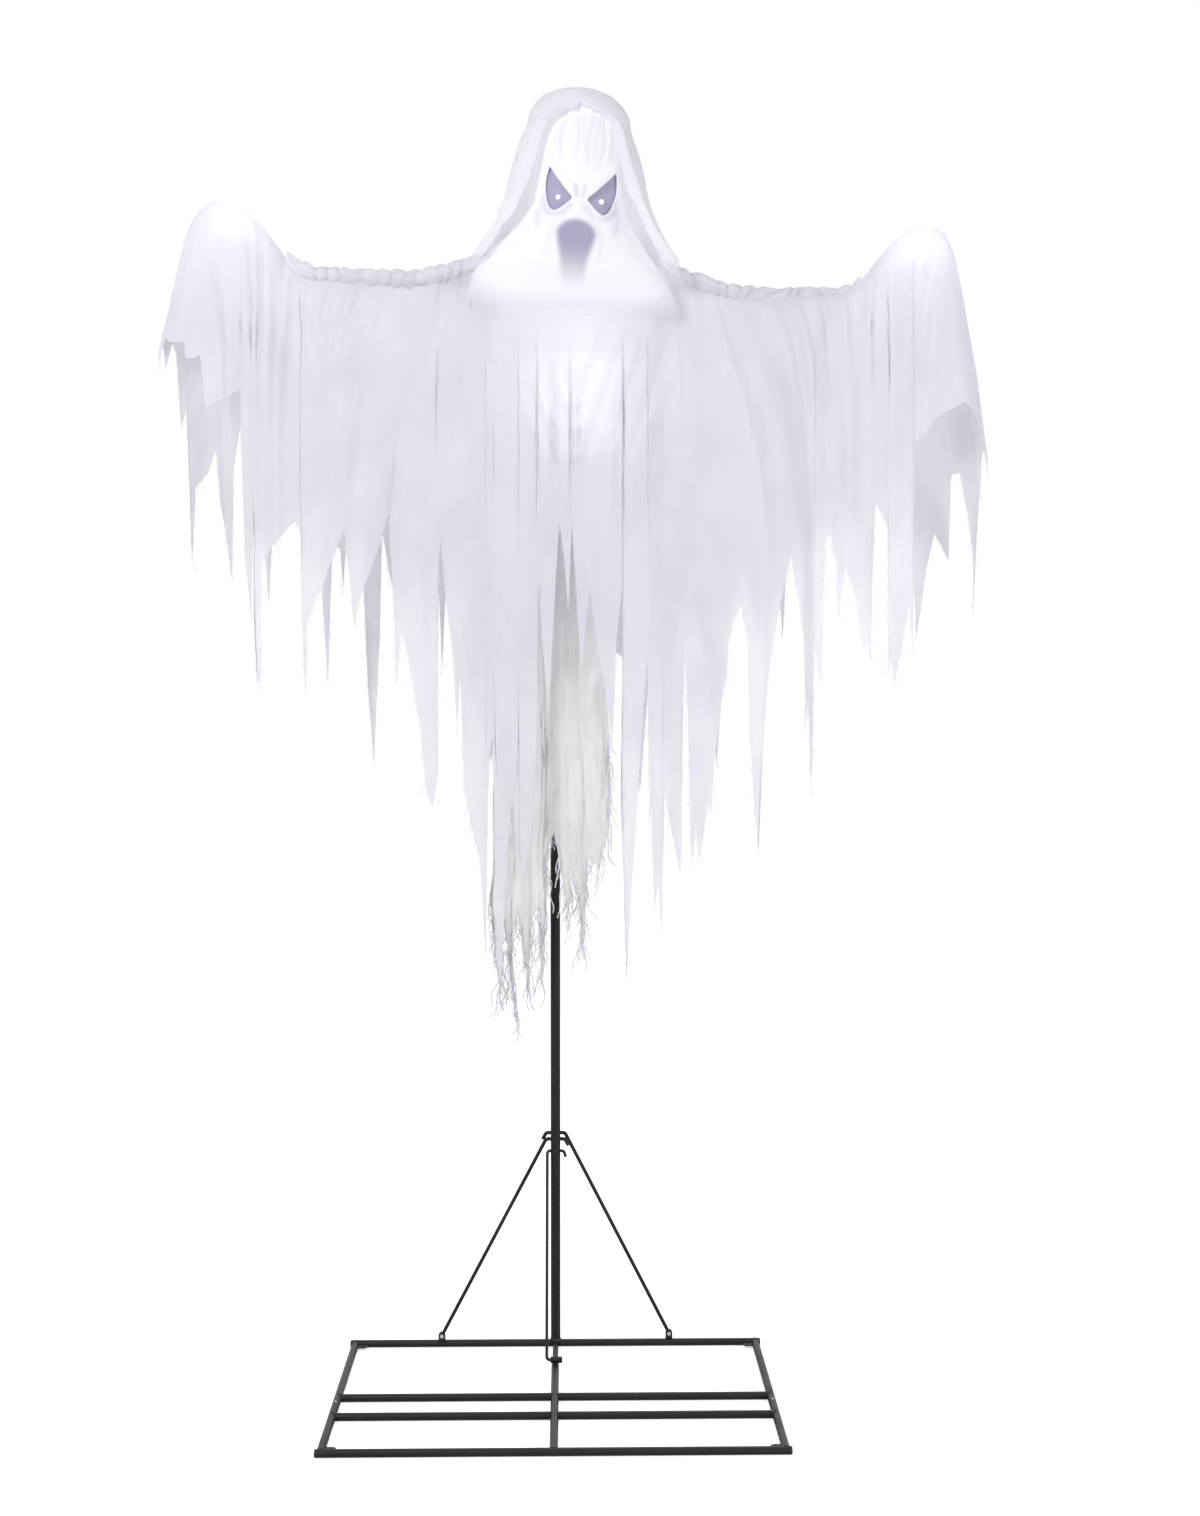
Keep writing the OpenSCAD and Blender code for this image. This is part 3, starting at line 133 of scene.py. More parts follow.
# %% [markdown]
# ## Shader sums as plain Python
# A material is a graph of nodes. Drawing each Math node by hand hides the idea, so one small class wraps a socket:
# writing `weave * 0.8 + 0.1` adds the nodes that do that sum. Any other node comes from one method.

# %% The socket class
class Sock:
    def __init__(self, finish, socket):
        self.finish, self.socket = finish, socket

    def _sum(self, operation, other):
        return self.finish.node("ShaderNodeMath", {"operation": operation}, {0: self, 1: other})

    def __add__(self, other): return self._sum("ADD", other)
    def __mul__(self, other): return self._sum("MULTIPLY", other)


def linked(tree, kind, *sources, **settings):
    """A node whose first inputs are linked to the sources, in order."""
    made = tree.nodes.new(kind)
    for key, value in settings.items():
        setattr(made, key, value)
    for socket, source in zip(made.inputs, sources):
        tree.links.new(source, socket)
    return made


def times(colour, factor):
    return tuple(c * factor for c in colour)


class Finish:
    """One material: its tree, its shader and the methods that add nodes."""

    def __init__(self, name, **constants):
        self.material = bpy.data.materials.new(name)
        self.material.use_nodes = True
        self.tree = self.material.node_tree
        self.shader = self.tree.nodes["Principled BSDF"]
        self.out = self.tree.nodes["Material Output"]
        for socket, value in constants.items():
            self.shader.inputs[socket.replace("_", " ")].default_value = value

    def node(self, kind, settings=None, sockets=None, output=0):
        made = self.tree.nodes.new(kind)
        for key, value in (settings or {}).items():
            if key == "stops":
                while len(made.color_ramp.elements) < len(value):
                    made.color_ramp.elements.new(0.5)
                for stop, (place, colour) in zip(made.color_ramp.elements, value):
                    stop.position, stop.color = place, (*colour, 1)
            else:
                setattr(made, key, value)
        for key, value in (sockets or {}).items():
            self.feed(made.inputs[key], value)
        return Sock(self, made.outputs[output])

    def feed(self, socket, value):
        if isinstance(value, Sock):
            self.tree.links.new(value.socket, socket)
        else:
            socket.default_value = value

    def set(self, **links):
        for socket, value in links.items():
            self.feed(self.shader.inputs[socket.replace("_", " ")], value)

    def place(self):
        return self.node("ShaderNodeTexCoord", None, None, "Object")

    def value(self, name):
        return self.node("ShaderNodeAttribute", {"attribute_name": name}, None, "Fac")

    def grain(self, scale, detail=2.0, rough=0.5, at=None):
        return self.node("ShaderNodeTexNoise", None,
                         {"Vector": at or self.place(), "Scale": scale, "Detail": detail, "Roughness": rough}, "Fac")

    def between(self, amount, a, b):
        mixed = linked(self.tree, "ShaderNodeMix", data_type="RGBA", clamp_factor=True)
        self.feed(mixed.inputs[0], amount)
        for socket, colour in ((6, a), (7, b)):
            self.feed(mixed.inputs[socket], colour if isinstance(colour, Sock) else (*colour, 1))
        return Sock(self, mixed.outputs[2])

    def span(self, value, low, high, out_low=0.0, out_high=1.0):
        return self.node("ShaderNodeMapRange", {"clamp": True, "interpolation_type": "SMOOTHSTEP"},
                         {"Value": value, "From Min": low, "From Max": high, "To Min": out_low, "To Max": out_high})

    def bump(self, height, distance, strength=1.0):
        bumped = self.node("ShaderNodeBump", None, {"Height": height, "Distance": distance, "Strength": strength})
        self.feed(self.shader.inputs["Normal"], bumped)


print("sums on sockets ready")

# %% [markdown]
# ## Floor and background
# The photograph shows the figure cut out on white. The floor is a wide pale sheet that still takes the shadow of the
# stand, and the world is white only to rays from the camera, to gloss and to clear parts, so that
# making the background white adds no light to the cloth.

# %% World and floor
world = bpy.data.worlds.new("studio")
bpy.context.scene.world = world
world.use_nodes = True
sky = world.node_tree
sky.nodes.clear()
ray = linked(sky, "ShaderNodeLightPath").outputs
seen = linked(sky, "ShaderNodeMath", ray["Is Camera Ray"], ray["Is Glossy Ray"], operation="MAXIMUM")
seen = linked(sky, "ShaderNodeMath", seen.outputs[0], ray["Is Transmission Ray"], operation="MAXIMUM")
light, white = linked(sky, "ShaderNodeBackground"), linked(sky, "ShaderNodeBackground")
for shade, colour, strength in ((light, (0.97, 0.98, 1.0, 1), 0.50), (white, (1, 1, 1, 1), 1.0)):
    shade.inputs["Color"].default_value = colour
    shade.inputs["Strength"].default_value = strength
either = linked(sky, "ShaderNodeMixShader", seen.outputs[0], light.outputs[0], white.outputs[0])
linked(sky, "ShaderNodeOutputWorld", either.outputs[0])

below = -0.0005  # just under the tubes
floor_mesh = bpy.data.meshes.new("floor")
floor_mesh.from_pydata([(x, y, below) for x, y in ((-12, -12), (12, -12), (12, 14), (-12, 14))], [], [(0, 1, 2, 3)])
floor = add("floor", floor_mesh)
pale = Finish("floor_sheet", Roughness=0.9)
pale.set(Base_Color=pale.between(pale.grain(0.7), (0.90, 0.90, 0.90), (0.93, 0.93, 0.93)))
glow = linked(pale.tree, "ShaderNodeEmission")
glow.inputs["Color"].default_value = (1, 1, 1, 1)
glow.inputs["Strength"].default_value = 0.62
both = linked(pale.tree, "ShaderNodeAddShader", pale.shader.outputs[0], glow.outputs[0])
ray = linked(pale.tree, "ShaderNodeLightPath").outputs["Is Camera Ray"]
only = linked(pale.tree, "ShaderNodeMixShader", ray, pale.shader.outputs[0], both.outputs[0])
pale.tree.links.new(only.outputs[0], pale.out.inputs[0])
floor_mesh.materials.append(pale.material)
print("floor and white background ready")

# %% [markdown]
# ## Metal and plastic finishes
# The stand is satin black powder coat: a fine orange-peel bump, dust that dulls it, and small rubbed spots where the
# tubes are handled. The hidden drive has plated screws, brushed plate, dark moulded cases and ivory gears.
# Each is noise at the scale the real finish shows, fed to colour, roughness and bump.

# %% Powder-coated steel
def powder_coat(name, colour, worn):
    coat = Finish(name, Specular_IOR_Level=0.28)
    peel = coat.grain(900, 2)
    dust = coat.span(coat.grain(7, 5, 0.6), 0.42, 0.72)
    rubbed = coat.span(coat.grain(34, 6, 0.7), 0.66, 0.74)
    tint = coat.between(dust * 0.35, colour, tuple(c + 0.010 for c in colour))
    coat.set(Base_Color=coat.between(rubbed * 0.35, tint, worn),
             Roughness=coat.span(dust, 0, 1, 0.36, 0.50))
    coat.bump(peel, 0.00015, 0.25)
    return coat.material


finishes = {"black_steel": powder_coat("satin_black_coat", (0.010, 0.010, 0.011), (0.050, 0.050, 0.052))}
print("stand finish:", finishes["black_steel"].name)


# %% Brushed, plated and moulded finishes
def brushed_metal(name, colour, rough, along=(30, 30, 900)):
    metal = Finish(name, Metallic=1.0)
    lines = metal.grain(1, 3, 0.6, metal.node("ShaderNodeMapping", None, {"Vector": metal.place(), "Scale": along}))
    stain = metal.grain(25, 4)
    metal.set(Base_Color=metal.between(stain * 0.6, colour, times(colour, 0.78)),
              Roughness=metal.span(lines, 0.3, 0.7, rough - 0.07, rough + 0.09))
    metal.bump(lines, 0.0001, 0.4)
    return metal.material


def moulded(name, colour, rough):
    plastic = Finish(name)
    grain = plastic.grain(1400, 2)
    flow = plastic.grain(12, 3)
    plastic.set(Base_Color=plastic.between(flow, times(colour, 0.92), times(colour, 1.06)),
                Roughness=plastic.span(grain, 0.3, 0.7, rough - 0.06, rough + 0.08))
    plastic.bump(grain, 0.00015, 0.35)
    return plastic.material


def circuit(name):
    board = Finish(name, Coat_Weight=0.3)
    tracks = board.node("ShaderNodeTexBrick", {"offset": 0.37},
                        {"Vector": board.place(), "Scale": 90.0, "Mortar Size": 0.06}, "Fac")
    board.set(Base_Color=board.between(tracks, (0.03, 0.17, 0.07), (0.10, 0.33, 0.15)),
              Roughness=board.span(tracks, 0, 1, 0.30, 0.42))
    board.bump(tracks, 0.0002, 0.5)
    return board.material


def paper_cone(name):
    cone = Finish(name)
    pulp = cone.grain(420, 4, 0.7)
    cone.set(Base_Color=cone.between(pulp, (0.045, 0.045, 0.05), (0.085, 0.082, 0.08)),
             Roughness=cone.span(pulp, 0.3, 0.7, 0.7, 0.9))
    cone.bump(pulp, 0.0003, 0.6)
    return cone.material


finishes.update({
    "zinc_steel": brushed_metal("zinc_plate", (0.62, 0.63, 0.65), 0.34),
    "plate": brushed_metal("mill_plate", (0.50, 0.51, 0.53), 0.42),
    "cap_plastic": moulded("black_end_cap", (0.014, 0.014, 0.015), 0.46),
    "case_plastic": moulded("grey_case", (0.045, 0.045, 0.050), 0.55),
    "gear_plastic": moulded("ivory_gear", (0.76, 0.73, 0.64), 0.45),
    "motor": brushed_metal("motor_can", (0.50, 0.51, 0.52), 0.30),
    "bushing": brushed_metal("brass_bush", (0.66, 0.49, 0.20), 0.30),
    "board": circuit("green_board"),
    "speaker": paper_cone("speaker_paper"),
    "button_red": moulded("red_button", (0.50, 0.045, 0.035), 0.25),
    "arm_tube": brushed_metal("drawn_tube", (0.45, 0.46, 0.48), 0.36, (900, 900, 30)),
})
print("hard finishes:", len(finishes))

# %% [markdown]
# ## Lit finishes
# Lamps, mask and screens glow. The lamps are frosted plastic that shines evenly, with a faint mottle from the
# frosting. The mask is the same stuff lit from behind: bright in the middle, with a painted lavender shade in its
# creases. The neck cloth that runs on from it keeps the same glow, painted light from the head lamp. The screens in
# the eyes and mouth are a grey-lavender gauze with a faint painted glow, and the mouth fades to a painted white glow
# lower down.

# %% Frosted plastic, mask and screens
def frosted(name, colour, shine):
    lamp = Finish(name, Emission_Strength=shine)
    frost = lamp.grain(160, 4)
    cloud = lamp.grain(14, 2)
    lamp.set(Base_Color=lamp.between(frost, times(colour, 0.95), colour),
             Emission_Color=lamp.between(lamp.span(cloud, 0.3, 0.7), times(colour, 0.88), colour),
             Roughness=lamp.span(frost, 0.3, 0.7, 0.45, 0.62))
    lamp.bump(frost, 0.0003, 0.3)
    return lamp.material


def lit_mask(name):
    mask = Finish(name, Emission_Strength=0.24)
    crease, mouth, veil, neck = (mask.value(name) for name in ("crease", "mouth", "veil", "neck"))
    fine = mask.grain(700, 2)
    # in the creases the colour turns lavender and the glow drops: painted shade
    skin_and_crease_shade = mask.between(crease, (0.84, 0.84, 0.87), (0.52, 0.51, 0.68))
    shine = mask.between(crease, (0.42, 0.42, 0.42), (0.08, 0.08, 0.15))
    # the neck cloth below the chin: its own tone, no crease shade, and the mask's glow, which on this cloth is
    # painted light
    skin_and_crease_shade = mask.between(neck, skin_and_crease_shade, (0.83, 0.825, 0.875))
    shine = mask.between(neck, shine, (0.42, 0.42, 0.46))
    # the mouth is painted grey in colour and glow: partly the grey screen seen through the cloth, partly painted
    # shade in the hollow
    mask.set(Base_Color=mask.between(mouth, skin_and_crease_shade, (0.36, 0.35, 0.48)),
             Emission_Color=mask.between(mouth, shine, (0.10, 0.10, 0.16)),
             Roughness=mask.span(fine, 0.3, 0.7, 0.50, 0.66), Alpha=mask.span(veil, 0.05, 0.95, 1.0, 0.0))
    mask.bump(fine, 0.0002, 0.35)
    return mask.material


def gauze_screen(name):
    screen = Finish(name, Emission_Strength=0.12)
    mesh = screen.node("ShaderNodeTexVoronoi", {"feature": "DISTANCE_TO_EDGE"},
                       {"Vector": screen.place(), "Scale": 520.0}, "Distance")
    up = screen.node("ShaderNodeSeparateXYZ", None, {"Vector": screen.place()}, "Z")
    # lower down the mouth's screen turns white and glows: painted light, like the lit mask in front of it
    fade = screen.span(up, 2.79, 2.86, 1.0, 0.0)
    thread = screen.span(mesh, 0.02, 0.12)
    grey = screen.between(thread, (0.44, 0.43, 0.57), (0.36, 0.35, 0.50))
    screen.set(Base_Color=screen.between(fade, grey, (0.88, 0.88, 0.93)),
               Emission_Color=screen.between(fade, (0.30, 0.29, 0.42), (0.95, 0.95, 1.0)),
               Roughness=screen.span(mesh, 0, 0.2, 0.9, 0.7))
    screen.bump(mesh, 0.0004, 0.4)
    return screen.material


finishes["diffuser"] = frosted("frosted_lamp", (0.93, 0.92, 0.97), 0.25)
chest_panel = frosted("frosted_panel", (0.90, 0.90, 0.94), 0.10)
finishes["mask"] = lit_mask("lit_mask")
finishes["screen"] = gauze_screen("lavender_screen")
print("lit finishes ready")

# %% [markdown]
# ## Cloth finishes
# The robe is a sheer synthetic voile: a plain weave with about ten threads to the centimetre, pale lavender white,
# that lets some light through. It is a mix of a matt shader and a translucent one, thinned a little with clear. The
# weave follows the cut of the cloth, so it reads the sheet's own flat map. Near a lamp the cloth lights up: this is
# painted light, written on the cloth as a value called glow and shown as emission. The back sheet is the same voile,
# painted darker and with a weaker glow, as painted shade behind the front sheet. The inner lining is a coarser,
# warmer gauze.

# %% Sheer voile and gauze
full_turn = 6.283


def woven(name, pale_side, shade_side, lit, threads, clear, through):
    cloth = Finish(name, Roughness=0.86, Sheen_Weight=0.25, Sheen_Roughness=0.5, Emission_Strength=1.0)
    flat = cloth.node("ShaderNodeUVMap", {"uv_map": "cut"})
    ways = linked(cloth.tree, "ShaderNodeSeparateXYZ", flat.socket).outputs
    warp, weft = (cloth.node("ShaderNodeMath", {"operation": "SINE"}, {0: Sock(cloth, way) * (threads * full_turn)})
                  for way in (ways["X"], ways["Y"]))
    weave = warp * weft * 0.5 + 0.5
    slub = cloth.grain(1, 4, 0.6, cloth.node("ShaderNodeMapping", None, {"Vector": flat, "Scale": (170, 9, 1)}))
    cloud = cloth.grain(5, 3, 0.5, flat)
    tone = cloth.span(cloud * 0.86 + slub * 0.14, 0.36, 0.66)
    colour = cloth.between(tone, shade_side, pale_side)
    cloth.set(Base_Color=colour, Emission_Color=cloth.between(cloth.value("glow"), (0, 0, 0), lit))
    cloth.bump(weave * 0.8 + slub * 0.12, 0.0005, 0.4)
    front = Sock(cloth, cloth.shader.outputs[0])
    behind = cloth.node("ShaderNodeBsdfTranslucent", None, {"Color": colour})
    thick = cloth.node("ShaderNodeMixShader", None, {0: through, 1: front, 2: behind})
    holes = cloth.span(slub, 0.3, 0.7, clear * 0.8, clear * 1.2) + cloth.value("fade")
    clear_part = cloth.node("ShaderNodeBsdfTransparent")
    cloth.feed(cloth.out.inputs[0], cloth.node("ShaderNodeMixShader", None, {0: holes, 1: thick, 2: clear_part}))
    return cloth.material


robe_voile = woven("lavender_voile", (0.93, 0.92, 0.965), (0.87, 0.86, 0.93), (0.50, 0.52, 0.55), 900, 0.07, 0.32)
# the same voile painted darker: painted shade for the sheet that hangs behind
back_voile = woven("back_voile", (0.77, 0.77, 0.82), (0.69, 0.69, 0.75), (0.36, 0.37, 0.41), 900, 0.06, 0.30)
hood_voile = woven("hood_voile", (0.93, 0.925, 0.955), (0.87, 0.87, 0.92), (0.48, 0.49, 0.53), 900, 0.03, 0.32)
gauze = woven("warm_gauze", (0.89, 0.885, 0.88), (0.80, 0.795, 0.79), (0.34, 0.34, 0.34), 450, 0.06, 0.30)
finishes["robe_cloth"], finishes["lining_cloth"] = robe_voile, gauze
print("cloth finishes ready")

# %% [markdown]
# ## Finishes on the rigid parts
# A solid whose shape is already right keeps its mesh and takes its finish by its material slot in the record.

# %% Dress the solids
slot_of = {part["node"]: part["material_slot"] for part in frame["record"].get("subparts", [])}
dressed = [name for name in nodes if slot_of.get(name) in finishes]
for name in dressed:
    materials = nodes[name].data.materials
    materials.clear()
    materials.append(chest_panel if name == "chest_lamp" else finishes[slot_of[name]])
print("dressed solids:", len(dressed), "of", len(nodes))

# %% [markdown]
# ## Cloth by columns
# Each sheet of the robe is hung from a line and cut to points below. It could be simulated, but a torn voile with
# seventy strips, each at its own measured length, keeps its outline better when it is drawn: every column of the
# mesh starts on the line it hangs from, goes over the arm in an arch, and ends exactly on the hem. Pleats, folds
# and the twist of each strip are then added as small moves.

# %% Noise and mesh helpers
def lattice(i, j, seed):
    h = np.sin(i * 127.1 + j * 311.7 + seed * 74.7) * 43758.5453
    return h - np.floor(h)


def waves(u, v, seed):
    """Smooth noise from -1 to 1 on arrays."""
    i, j = np.floor(u), np.floor(v)
    a, b = u - i, v - j
    a, b = a * a * (3 - 2 * a), b * b * (3 - 2 * b)
    low = lattice(i, j, seed) * (1 - a) + lattice(i + 1, j, seed) * a
    high = lattice(i, j + 1, seed) * (1 - a) + lattice(i + 1, j + 1, seed) * a
    return (low * (1 - b) + high * b) * 2 - 1


def ease(x, low, high):
    t = np.clip((x - low) / (high - low), 0, 1)
    return t * t * (3 - 2 * t)


def finished(name, mesh, finish, **values):
    """A smooth object from the mesh, with its finish and with values on its points."""
    for label, numbers in values.items():
        spots = mesh.attributes.new(label, "FLOAT", "POINT").data
        spots.foreach_set("value", numbers.reshape(-1).astype(np.float32))
    mesh.polygons.foreach_set("use_smooth", [True] * len(mesh.polygons))
    mesh.materials.append(finish)
    mesh.update()
    return add(name, mesh)


def sheet_mesh(name, points, cut, glow, finish, flip=False, fade=None):
    """A grid of points (rows, columns, 3) with its flat map, its glow and where it thins out."""
    rows, columns = points.shape[:2]
    mesh = bpy.data.meshes.new(name)
    index = np.arange(rows * columns).reshape(rows, columns)
    quads = np.stack([index[:-1, :-1], index[:-1, 1:], index[1:, 1:], index[1:, :-1]], -1).reshape(-1, 4)
    if flip:
        quads = quads[:, ::-1]
    mesh.from_pydata(points.reshape(-1, 3).tolist(), [], quads.tolist())
    layer = mesh.uv_layers.new(name="cut")
    flat = cut.reshape(-1, 2)[quads.reshape(-1)]
    layer.data.foreach_set("uv", flat.astype(np.float32).reshape(-1))
    return finished(name, mesh, finish, glow=glow, fade=np.zeros(points.shape[:2]) if fade is None else fade)


def cloth_area(thing):
    return sum(p.area for p in thing.data.polygons)


print("noise at one place:", round(float(waves(np.array(0.3), np.array(0.7), 1)), 3))


# %% [markdown]
# ### Where the lamps light the cloth
# Light leaks through the voile near the hands, the head, the neck and the chest panel; it is painted on the cloth as
# glow. Its strength falls off with distance.

# %% Glow on the cloth
lamp_spots = [
    (left_lamp + Vector((0, 0, 0.02)), 0.080, 0.40), (right_lamp + Vector((0.03, 0, 0.02)), 0.080, 0.40),
    (left_lamp + Vector((0.02, 0, -0.03)), 0.19, 0.26), (right_lamp + Vector((0, 0, -0.03)), 0.19, 0.26),
    (Vector((0.01, head_y - 0.05, 2.93)), 0.17, 0.70), (Vector((0.0, head_y - 0.05, 2.74)), 0.17, 0.55),
    (chest + Vector((-0.105, -0.03, 0.09)), 0.040, 0.22), (chest + Vector((0.120, -0.03, 0.085)), 0.040, 0.22),
    (chest + Vector((0.0, -0.03, -0.06)), 0.20, 0.24), (chest + Vector((0.0, -0.03, 0.16)), 0.22, 0.20),
    (Vector((0.0, head_y - 0.054, 2.68)), 0.12, 0.24),
]


def glow_at(points):
    total = np.zeros(points.shape[:-1])
    for spot, reach, power in lamp_spots:
        away = np.linalg.norm(points - np.array(spot), axis=-1)
        total += power * np.exp(-(away / reach) ** 2)
    return np.clip(total, 0, 1.3)


print("glow at the left hand:", round(float(glow_at(np.array([left_lamp]))[0]), 2))


# %% [markdown]
# ### The line the robe hangs from
# Over the arms the cloth is gathered on the arm tube, then climbs over the lamp in each hand and drops at the cuff.
# Across the chest it hangs from a hoop. One table for each side gives the height of that line above the arm pivot,
# and one gives how wide the arch over the arm is.

# %% Ridge and arch
reach = [arm_start, 0.655, 0.690, 0.715, 0.740, 0.775, 0.815, 0.850, 0.890]
rise = [0.0, 0.0, 0.008, 0.020, 0.044, 0.088, 0.136, 0.166, 0.176]
ridge_tables = {
    -1: (reach + [0.925, 0.955, 0.980, 1.005, 1.030, 1.060], rise + [0.172, 0.150, 0.112, 0.025, -0.085, -0.200]),
    1: (reach + [0.925, 0.950, 0.970, 0.995, 1.030, 1.060], rise + [0.178, 0.160, 0.115, 0.000, -0.185, -0.400]),
}
arch_table = ([arm_start, 0.66, 0.74, 0.80, 0.83, 0.94, 1.00, 1.06],
              [0.022, 0.022, 0.032, 0.046, 0.054, 0.054, 0.044, 0.034])


def shoulder_cap(a):
    """The cloth rides up towards the neck."""
    return 0.050 * (1 - ease(a, 0.20, 0.44))


def ridge(x):
    """Height of the line that the cloth hangs from."""
    out = np.empty_like(x)
    for side in (-1, 1):
        mine = x * side >= 0
        a = np.abs(x[mine])
        out_to, lift = ridge_tables[side]
        sink = side * arm_lean * (np.maximum(a, arm_start) - pivot_x)
        out[mine] = pivot_z + np.interp(a, out_to, lift) - sink
        out[mine] += 0.008 * ease(a, 0.68, 0.80) + shoulder_cap(a)
    to_chest = 1 - ease(np.abs(x), 0.12, 0.24)
    return out * (1 - to_chest) + neckline_z * to_chest


def arch(x):
    return np.interp(np.abs(x), *arch_table)


print("ridge at the hands:", [round(float(v), 3) for v in ridge(np.array([-0.89, 0.89]))])

# %% [markdown]
# ### Cutting the hem
# The hem is torn into long points. A list of tips and notches, from the left cuff to the right one, gives the
# outline. Between a notch and a tip the edge is slightly hollow, as torn voile frays to a needle point.

# %% Hem lists and the shape of a strip
front_hem = [
    (-1.058, 2.629), (-1.039, 2.629), (-1.029, 2.616), (-0.986, 2.611), (-0.983, 2.571), (-0.946, 2.576),
    (-0.932, 2.447), (-0.889, 2.470), (-0.845, 2.493), (-0.840, 2.295), (-0.835, 2.066), (-0.825, 1.929),
    (-0.820, 2.041), (-0.816, 2.166), (-0.814, 1.964), (-0.812, 1.753), (-0.803, 1.750), (-0.799, 2.036),
    (-0.787, 2.074), (-0.761, 2.105), (-0.728, 2.148), (-0.713, 2.163), (-0.699, 2.133), (-0.698, 1.911),
    (-0.691, 1.719), (-0.686, 1.908), (-0.647, 1.995), (-0.632, 2.036), (-0.611, 2.087), (-0.590, 2.141),
    (-0.579, 2.051), (-0.570, 1.949), (-0.565, 1.896), (-0.551, 1.967), (-0.496, 2.105), (-0.473, 2.186),
    (-0.470, 2.100), (-0.461, 1.965), (-0.456, 1.755), (-0.447, 1.837), (-0.440, 1.878), (-0.423, 1.811),
    (-0.392, 1.620), (-0.380, 1.474), (-0.364, 1.435), (-0.352, 1.500), (-0.349, 1.862), (-0.345, 2.065),
    (-0.341, 2.123), (-0.329, 1.963), (-0.316, 1.877), (-0.309, 1.801), (-0.300, 1.638), (-0.295, 1.735),
    (-0.291, 1.765), (-0.282, 1.475), (-0.261, 1.376), (-0.243, 1.297), (-0.228, 1.052), (-0.222, 1.481),
    (-0.215, 1.593), (-0.209, 1.620), (-0.206, 1.404), (-0.202, 1.053), (-0.191, 0.984), (-0.182, 1.124),
    (-0.163, 1.430), (-0.143, 1.583), (-0.142, 1.303), (-0.137, 1.245), (-0.125, 1.293), (-0.105, 1.425),
    (-0.098, 1.623), (-0.095, 1.911), (-0.093, 2.005), (-0.082, 1.836), (-0.067, 1.674), (-0.058, 1.861),
    (-0.046, 2.063), (-0.040, 2.156), (-0.028, 2.063), (-0.017, 1.927), (-0.009, 2.161), (0.002, 1.987),
    (0.016, 1.740), (0.025, 1.874), (0.036, 1.990), (0.057, 1.836), (0.078, 1.709), (0.094, 1.613), (0.104, 1.861),
    (0.118, 1.992), (0.120, 1.608), (0.125, 1.201), (0.130, 0.989), (0.149, 1.328), (0.172, 1.684), (0.182, 1.816),
    (0.184, 1.557), (0.188, 1.404), (0.192, 1.455), (0.200, 1.151), (0.209, 1.251), (0.219, 1.107), (0.224, 1.475),
    (0.244, 1.383), (0.267, 1.267), (0.271, 1.556), (0.277, 1.841), (0.287, 1.658), (0.294, 1.351), (0.300, 1.295),
    (0.307, 1.397), (0.318, 1.289), (0.330, 1.376), (0.341, 1.453), (0.349, 1.422), (0.354, 1.530), (0.376, 1.717),
    (0.388, 1.770), (0.390, 1.850), (0.404, 1.909), (0.422, 1.952), (0.441, 1.858), (0.446, 1.637), (0.460, 1.451),
    (0.471, 1.315), (0.475, 1.477), (0.491, 1.755), (0.523, 1.948), (0.551, 2.078), (0.570, 1.966), (0.586, 1.863),
    (0.591, 1.642), (0.600, 1.714), (0.611, 1.480), (0.615, 1.632), (0.616, 1.863), (0.627, 1.791), (0.635, 1.771),
    (0.638, 1.966), (0.644, 2.119), (0.651, 2.135), (0.659, 2.124), (0.671, 2.063), (0.678, 1.927), (0.685, 2.002),
    (0.693, 2.045), (0.722, 1.971), (0.734, 1.863), (0.742, 1.843), (0.753, 1.863), (0.758, 1.812), (0.762, 2.030),
    (0.768, 2.209), (0.782, 2.186), (0.797, 2.145), (0.801, 1.781), (0.808, 1.837), (0.815, 1.745), (0.831, 1.838),
    (0.850, 1.958), (0.859, 1.848), (0.861, 2.171), (0.863, 2.360), (0.887, 2.385), (0.916, 2.426), (0.956, 2.447),
    (0.993, 2.467), (1.020, 2.442), (1.039, 2.376), (1.053, 2.322), (1.058, 2.376),
]
